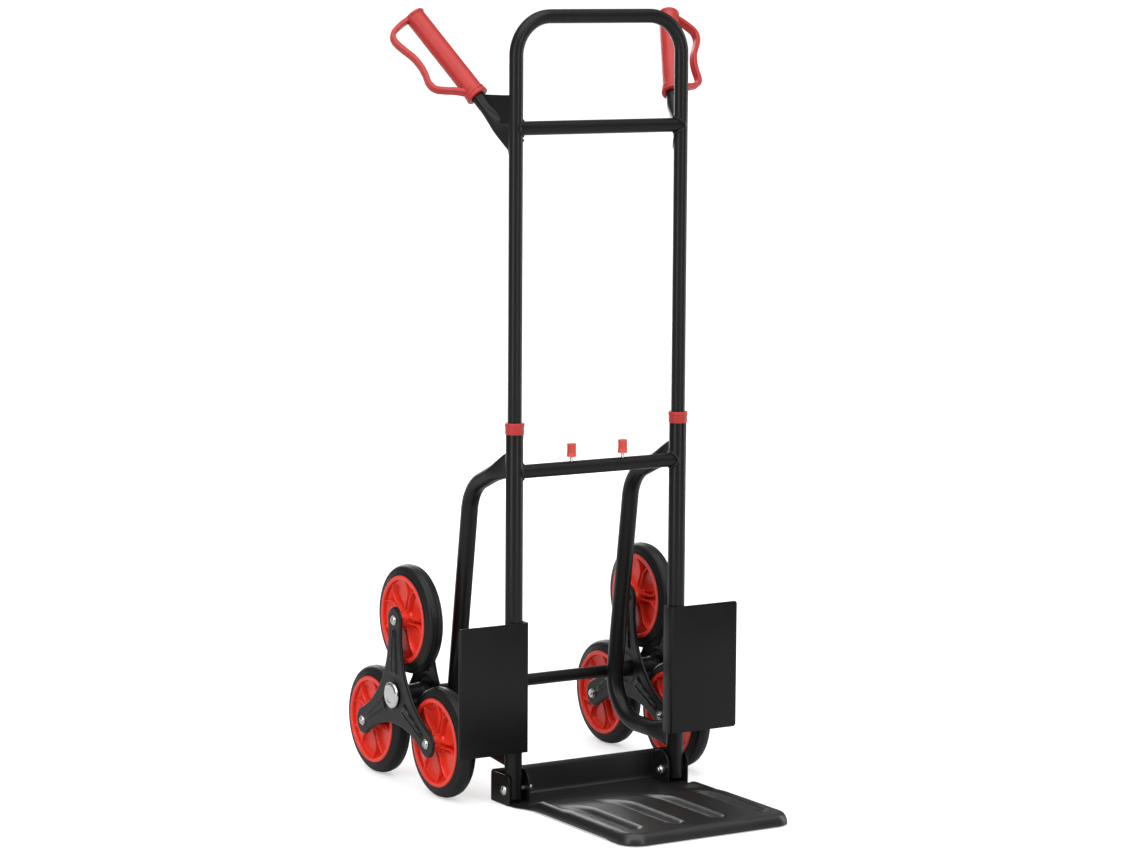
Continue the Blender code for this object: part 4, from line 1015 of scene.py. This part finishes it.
def star_relief(u, v):
    """Height of the pressing: a rolled rim, a raised spine widening to the hub, and a hub ring."""
    near_edge = max(1 - star_edge_distance(u, v) / (4 * MM), 0)
    height = -3.2 * MM * (1 - math.sqrt(max(1 - near_edge**2, 0.0)))
    start, end = 30 * MM, 97 * MM
    share = (u - start) / (end - start)
    if 0 < share < 1:
        spine = (2.0 + 5.0 * (1 - share)) * MM
        ends = ramp(u, start, start + 3 * MM) * ramp(u, end, end - 5 * MM)
        crest = eased(1.25 - abs(spine - abs(v)) / (1.9 * MM))
        inside = 0.62 * eased((spine - abs(v)) / (1.2 * MM))
        height += 2.2 * MM * max(crest, inside) * ends
    ring = abs(math.hypot(u, v) - 21.5 * MM)
    return height + 0.7 * MM * eased(1.3 - ring / (2.6 * MM))


def star_sheet(shape, x, outward):
    """One pressed three-armed bracket, its relief facing outward along X."""
    low = [WAIST / 2 * step / 16 for step in range(17)]
    neck_end = STAR_ARM - 2.6 * MM
    neck = [WAIST / 2 + (neck_end - WAIST / 2) * step / 46 for step in range(1, 47)]
    start = math.asin((neck_end - STAR_ARM) / ARM_END)
    sweep = math.pi / 2 - start
    cap = [STAR_ARM + ARM_END * math.sin(start + sweep * step / 16) for step in range(1, 17)]
    inner = (0, 1.2, 2.4, 3.6, 4.8, 6.2, 8.0, 10.0)
    edge = (7.5, 5.5, 4.0, 3.0, 2.0, 1.2, 0.5, 0.0)
    for arm in ARM_ANGLES:
        turned = math.radians(arm)
        grid = []
        for u in low + neck + cap:
            half = arm_half_width(u)
            scale = min(1.0, half / (18 * MM))
            offsets = [value * MM * scale for value in inner]
            span = half - edge[0] * MM * scale - offsets[-1]
            if span > 0:
                offsets += [offsets[-1] + span * step / 5 for step in range(1, 5)]
            else:
                offsets += [offsets[-1]] * 4
            offsets += [half - value * MM * scale for value in edge]
            line = []
            for v in [-value for value in reversed(offsets[1:])] + offsets:
                lift = star_relief(u, v)
                y = AXLE.y - (u * -math.cos(turned) + v * math.sin(turned))
                z = AXLE.z + u * math.sin(turned) + v * math.cos(turned)
                line.append(shape.verts.new((x + outward * lift, y, z)))
            grid.append(line)
        for near, far in zip(grid, grid[1:]):
            for i in range(len(near) - 1):
                shape.faces.new((near[i], near[i + 1], far[i + 1], far[i]))
    bmesh.ops.remove_doubles(shape, verts=shape.verts, dist=0.02 * MM)
    bmesh.ops.dissolve_degenerate(shape, edges=shape.edges, dist=0.005 * MM)


def brackets():
    for name, side in SIDES:
        for place, facing in (("inner", -1), ("outer", 1)):
            node = f"{name}_{place}_bracket"
            outward = side * facing
            low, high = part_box(node)
            face_x = high[0] if outward > 0 else low[0]
            shape = bmesh.new()
            star_sheet(shape, face_x - outward * 1.2 * MM, outward)
            made = piece(f"{node}_pressing", shape, SHEET_PAINT, f"{name}_star", node, sharp=40)
            thicken(made, X_AXIS * outward, BRACKET_SHEET)


def star_hub(name, side):
    """A sleeve on the journal, necked where the brackets sit on it."""
    near, far = outboard_span(f"{name}_star_hub")
    neck, body = 11 * MM, 15 * MM
    inner_face, outer_face = 174.4 * MM, 226.6 * MM
    corners = [
        (HUB_BORE, far), (neck, far), (neck, outer_face), (body, outer_face),
        (body, outer_face - 12 * MM), (body - 1.5 * MM, outer_face - 13.5 * MM),
        (body - 1.5 * MM, inner_face + 13.5 * MM), (body, inner_face + 12 * MM), (body, inner_face),
        (neck, inner_face), (neck + 1.2 * MM, near + 8 * MM), (neck + 1.2 * MM, near), (HUB_BORE, near),
    ]
    shape = bmesh.new()
    lathe(shape, corners, 0.7 * MM, 3, along_x(0, AXLE.y, AXLE.z, side), 56)
    piece(f"{name}_hub_sleeve", shape, BLACK_PLASTIC, f"{name}_star", f"{name}_star_hub")


def hub_cap(name, side):
    """The domed cap on the end of the journal, with a shallow dish in its middle."""
    low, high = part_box(f"{name}_hub_cap")
    near, far = outboard_span(f"{name}_hub_cap")
    radius = (high[2] - low[2]) / 2
    corners = [
        (0, far - 0.7 * MM), (radius * 0.50, far - 0.5 * MM), (radius * 0.58, far),
        (radius * 0.80, far - 0.2 * MM), (radius - 0.8 * MM, far - 1.6 * MM),
        (radius, near + 1.2 * MM), (radius - 0.5 * MM, near), (HUB_BORE, near),
    ]
    shape = bmesh.new()
    lathe(shape, corners, 0.9 * MM, 4, along_x(0, AXLE.y, AXLE.z, side), 64, closed=False)
    piece(f"{name}_dished_cap", shape, CHROME, f"{name}_star", f"{name}_hub_cap")


def hubs_and_caps():
    for name, side in SIDES:
        star_hub(name, side)
        hub_cap(name, side)


TYRE_RADIUS = 80 * MM
TYRE_HALF = 15 * MM
RIM_RADIUS = 64.5 * MM
RIBS = 10
BOLT_FACE = 28.4 * MM  # from a wheel's middle to the face under its bolt's head


def tyre_shape(place):
    """Side walls that lean in from the rim, round shoulders and a moulded line beside each."""
    half, seat = TYRE_HALF, RIM_RADIUS + 0.3 * MM
    side = [
        (seat, half - 0.5 * MM), (seat + 1.2 * MM, half - 0.4 * MM), (seat + 2.4 * MM, half - 1.2 * MM),
        (seat + 4.6 * MM, half - 2.3 * MM), (seat + 5.2 * MM, half - 2.2 * MM),
        (seat + 6.2 * MM, half - 3.1 * MM),
    ]
    shoulder = 7.2 * MM
    for step in range(10):
        angle = math.pi / 2 * (0.15 + 0.85 * step / 9)
        radius = TYRE_RADIUS - 0.9 * MM - shoulder * (1 - math.sin(angle))
        side.append((radius, half - 10.2 * MM + shoulder * math.cos(angle)))
    side += [
        (79.3 * MM, half - 10.8 * MM), (79.7 * MM, half - 11.4 * MM), (TYRE_RADIUS, half - 12.4 * MM),
    ]
    shape = bmesh.new()
    turn(shape, side + mirrored(side), place, 112, closed=True)
    return shape


def rim_shape(place):
    """A moulded rim: a rolled ring and a hub, joined by the ribbed web."""
    shape = bmesh.new()
    half = TYRE_HALF
    inner = 57.2 * MM
    ring = [
        (inner, half - 2.6 * MM), (inner + 1.0 * MM, half + 0.2 * MM),
        (RIM_RADIUS - 1.2 * MM, half + 0.3 * MM), (RIM_RADIUS - 0.2 * MM, half - 0.6 * MM),
        (RIM_RADIUS, half - 2 * MM),
    ]
    ring += mirrored(ring) + [(inner + 1.2 * MM, 0)]
    lathe(shape, ring, 0.8 * MM, 3, place, 96)
    hub, reach, bore = 14 * MM, 25.6 * MM, 4.3 * MM
    boss = [(bore, reach), (hub - 3 * MM, reach), (hub, 12 * MM)]
    lathe(shape, boss + [(hub + 1 * MM, 0)] + mirrored(boss), 1.2 * MM, 3, place, 56)
    rim_web(shape, place)
    return shape


def rim_web(shape, place):
    """A web of curved ribs with pockets of two depths, the same on both faces."""
    radii = [12.5, 14.5, 16.5, 20, 25, 30, 35, 40, 45, 49, 52.5, 55, 57, 58.4]
    near = (-3.4, -2.0, -1.3, -0.7, 0.7, 1.3, 2.0, 3.4)
    tops = (0.0, 0.12, 0.85, 1.0, 1.0, 0.85, 0.12, 0.0)
    for face in (1, -1):
        grid = []
        for value in radii:
            radius = value * MM
            share = (value - radii[0]) / (radii[-1] - radii[0])
            rib_height = (12.4 - 1.4 * math.sin(math.pi * share)) * MM
            starts = []
            for rib in range(RIBS):
                sway = 0.20 * math.sin(math.pi * share) * (1 if rib % 2 else -1)
                starts.append(2 * math.pi * rib / RIBS + sway)
            line = []
            for rib in range(RIBS):
                here = starts[rib]
                beyond = starts[(rib + 1) % RIBS] + (2 * math.pi if rib == RIBS - 1 else 0)
                deep = (1.4 if rib % 2 else 5.6) * MM
                floor = deep + (9.5 * MM - deep) * ramp(share, 0.80, 1.0)
                floor += (10 * MM - floor) * ramp(share, 0.10, 0.0)
                for offset, top in zip(near, tops):
                    height = floor + (rib_height - floor) * top
                    line.append((here + offset * MM / radius, height))
                first, last = here + near[-1] * MM / radius, beyond + near[0] * MM / radius
                for part in range(1, 7):
                    line.append((first + (last - first) * part / 7, floor))
            grid.append([
                shape.verts.new(place @ Vector((radius * math.cos(a), radius * math.sin(a), face * h)))
                for a, h in line
            ])
        for first, second in zip(grid, grid[1:]):
            bridge(shape, first, second)
        if face == 1:
            upper = grid
        else:
            bridge(shape, upper[0], grid[0])
            bridge(shape, upper[-1], grid[-1])


def bolt_shape(place, face, reach):
    """A domed hex-socket head outboard and a nut inboard, each on a washer, joined by the shank."""
    shape = bmesh.new()
    head = 3.9 * MM
    washer = 0.9 * MM
    socket = face + head - 1.6 * MM
    dome = [(0, socket), (2.6 * MM, socket), (2.9 * MM, face + head - 0.2 * MM)]
    dome += [
        (2.9 * MM + 3.2 * MM * math.sin(a), face + washer + (head - washer) * math.cos(a))
        for a in quarter(7)[1:]
    ]
    profile = dome + [
        (6.1 * MM, face + washer), (7 * MM, face + washer), (7 * MM, face), (4 * MM, face),
        (4 * MM, -face), (7 * MM, -face), (7 * MM, -face - washer), (0, -face - washer),
    ]
    turn(shape, profile, place, 40)
    nut_place = place @ Matrix.Translation((0, 0, -face - washer - 1.6 * MM))
    slab(shape, soften(hexagon(6.9 * MM), 0.7 * MM, 2), 3.2 * MM, nut_place, 0.45 * MM)
    end = [(0, -reach), (2.9 * MM, -reach), (3.5 * MM, -reach + 0.6 * MM), (3.5 * MM, -face), (0, -face)]
    turn(shape, end, place, 28)
    return shape


def wheels():
    for name, side in SIDES:
        for wheel in WHEELS:
            center = middle(f"{name}_{wheel}_tyre")
            place = along_x(center.x, center.y, center.z, side)
            body = f"{name}_{wheel}_wheel"
            stem = f"{name}_{wheel}"
            piece(f"{stem}_rubber_tyre", tyre_shape(place), TYRE, body, f"{stem}_tyre", sharp=40)
            piece(f"{stem}_moulded_rim", rim_shape(place), RIM, body, f"{stem}_rim", sharp=40)
            low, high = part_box(f"{stem}_bolt")
            bolt = bolt_shape(place, BOLT_FACE, (high[0] - low[0]) / 2)
            piece(f"{stem}_wheel_bolt", bolt, ZINC, f"{name}_star", f"{stem}_bolt", sharp=40)


# ---------------------------------------------------------------- kept CAD nodes


def dress_kept_nodes():
    for name, _ in SIDES:
        for node, material in ((f"{name}_latch_pin", ZINC), (f"{name}_tube_guide", BLACK_PLASTIC)):
            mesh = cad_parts[node].data
            mesh.materials.clear()
            mesh.materials.append(material)


# ---------------------------------------------------------------- studio


def studio_paper():
    """Matt paper that the camera sees a little brighter than it lights the object."""
    dark, light = (0.54, 0.54, 0.54), (0.56, 0.56, 0.56)
    paper = surface("studio_paper", dark, light, (0.85, 0.90), broad=3.0, bump=0.02)
    nodes, links = paper.node_tree.nodes, paper.node_tree.links
    path = nodes.new("ShaderNodeLightPath")
    glow = add_range(nodes, links, path.outputs["Is Camera Ray"], 0.0, 0.46, 0.0, 1.0)
    shader = nodes["Principled BSDF"]
    shader.inputs["Emission Color"].default_value = (1.0, 1.0, 1.0, 1.0)
    links.new(glow.outputs["Result"], shader.inputs["Emission Strength"])
    return paper


def studio_floor():
    shape = bmesh.new()
    bmesh.ops.create_circle(shape, cap_ends=True, segments=96, radius=40.0)
    mesh = bpy.data.meshes.new("studio_floor")
    shape.to_mesh(mesh)
    shape.free()
    floor = bpy.data.objects.new("studio_floor", mesh)
    bpy.context.scene.collection.objects.link(floor)
    floor.location.z = CAD_BOX[0][2] - 0.0002
    mesh.materials.append(studio_paper())


def studio_world():
    """The backdrop looks white; it lights softly, and more from above than from the sides."""
    world = bpy.data.worlds.new("studio_world")
    bpy.context.scene.world = world
    world.use_nodes = True
    nodes, links = world.node_tree.nodes, world.node_tree.links
    background = nodes["Background"]
    background.inputs["Color"].default_value = (1.0, 1.0, 1.0, 1.0)
    place = nodes.new("ShaderNodeTexCoord")
    split = nodes.new("ShaderNodeSeparateXYZ")
    links.new(place.outputs["Generated"], split.inputs["Vector"])
    gradient = add_range(nodes, links, split.outputs["Z"], 0.07, 0.60, 0.0, 0.9)
    path = nodes.new("ShaderNodeLightPath")
    choice = nodes.new("ShaderNodeMix")
    choice.inputs["B"].default_value = 1.05
    links.new(path.outputs["Is Camera Ray"], choice.inputs["Factor"])
    links.new(gradient.outputs["Result"], choice.inputs["A"])
    links.new(choice.outputs["Result"], background.inputs["Strength"])


def studio_lights():
    target = Vector((0, 0, 0.55))
    sky = bpy.data.lights.new("overhead_softbox", "SUN")
    sky.energy = 3.0
    sky.angle = math.radians(75)
    place_light(sky, Vector((-0.9, -1.6, 5.0)), target)
    strips = (
        ("left_strip", -2.95, -1.10, 0.60, 36),
        ("right_strip", 0.35, -3.30, 0.55, 28),
        ("far_right_strip", 3.20, -0.60, 0.7, 30),
        ("rear_strip", 0.90, 3.40, 2.0, 58),
    )
    for name, x, y, width, power in strips:
        data = bpy.data.lights.new(name, "AREA")
        data.shape = "RECTANGLE"
        data.size = width
        data.size_y = 2.4
        data.energy = power
        place_light(data, Vector((x, y, 1.25)), target)


def place_light(data, where, target):
    lamp = bpy.data.objects.new(data.name, data)
    lamp.location = where
    lamp.rotation_euler = (target - where).to_track_quat("-Z", "Y").to_euler()
    bpy.context.scene.collection.objects.link(lamp)


def camera():
    """The photo's camera, solved together with the main dimensions."""
    yaw, pitch, roll = (math.radians(angle) for angle in (31.613, 7.417, 0.359))
    level_share = math.cos(pitch)
    ahead = Vector((math.sin(yaw) * level_share, math.cos(yaw) * level_share, -math.sin(pitch)))
    level = Vector((math.cos(yaw), -math.sin(yaw), 0))
    upward = level.cross(ahead)
    right = level * math.cos(roll) + upward * math.sin(roll)
    up = upward * math.cos(roll) - level * math.sin(roll)
    data = bpy.data.cameras.new("camera")
    data.sensor_width = 36.0
    data.lens = 116.15
    data.clip_end = 200.0
    made = bpy.data.objects.new("camera", data)
    where = Vector((-2.7668, -4.4206 + UPRIGHT.y, 1.2128))
    made.matrix_world = axes(right, up, -ahead, where)
    bpy.context.scene.collection.objects.link(made)
    bpy.context.scene.camera = made
    bpy.context.scene.view_settings.view_transform = "Standard"


lower_uprights()
collars()
crossbar("middle_crossbar", "lower_frame", LOWER_RADIUS, slots=True)
crossbar("upper_crossbar", "handle_assembly", UPPER_RADIUS, slots=False)
loops()
axle()
guard_plates()
latches()
handle_frame()
handle_tubes()
gussets()
grips()
toe_plate()
toe_fittings()
brackets()
hubs_and_caps()
wheels()
dress_kept_nodes()
studio_floor()
studio_world()
studio_lights()
camera()
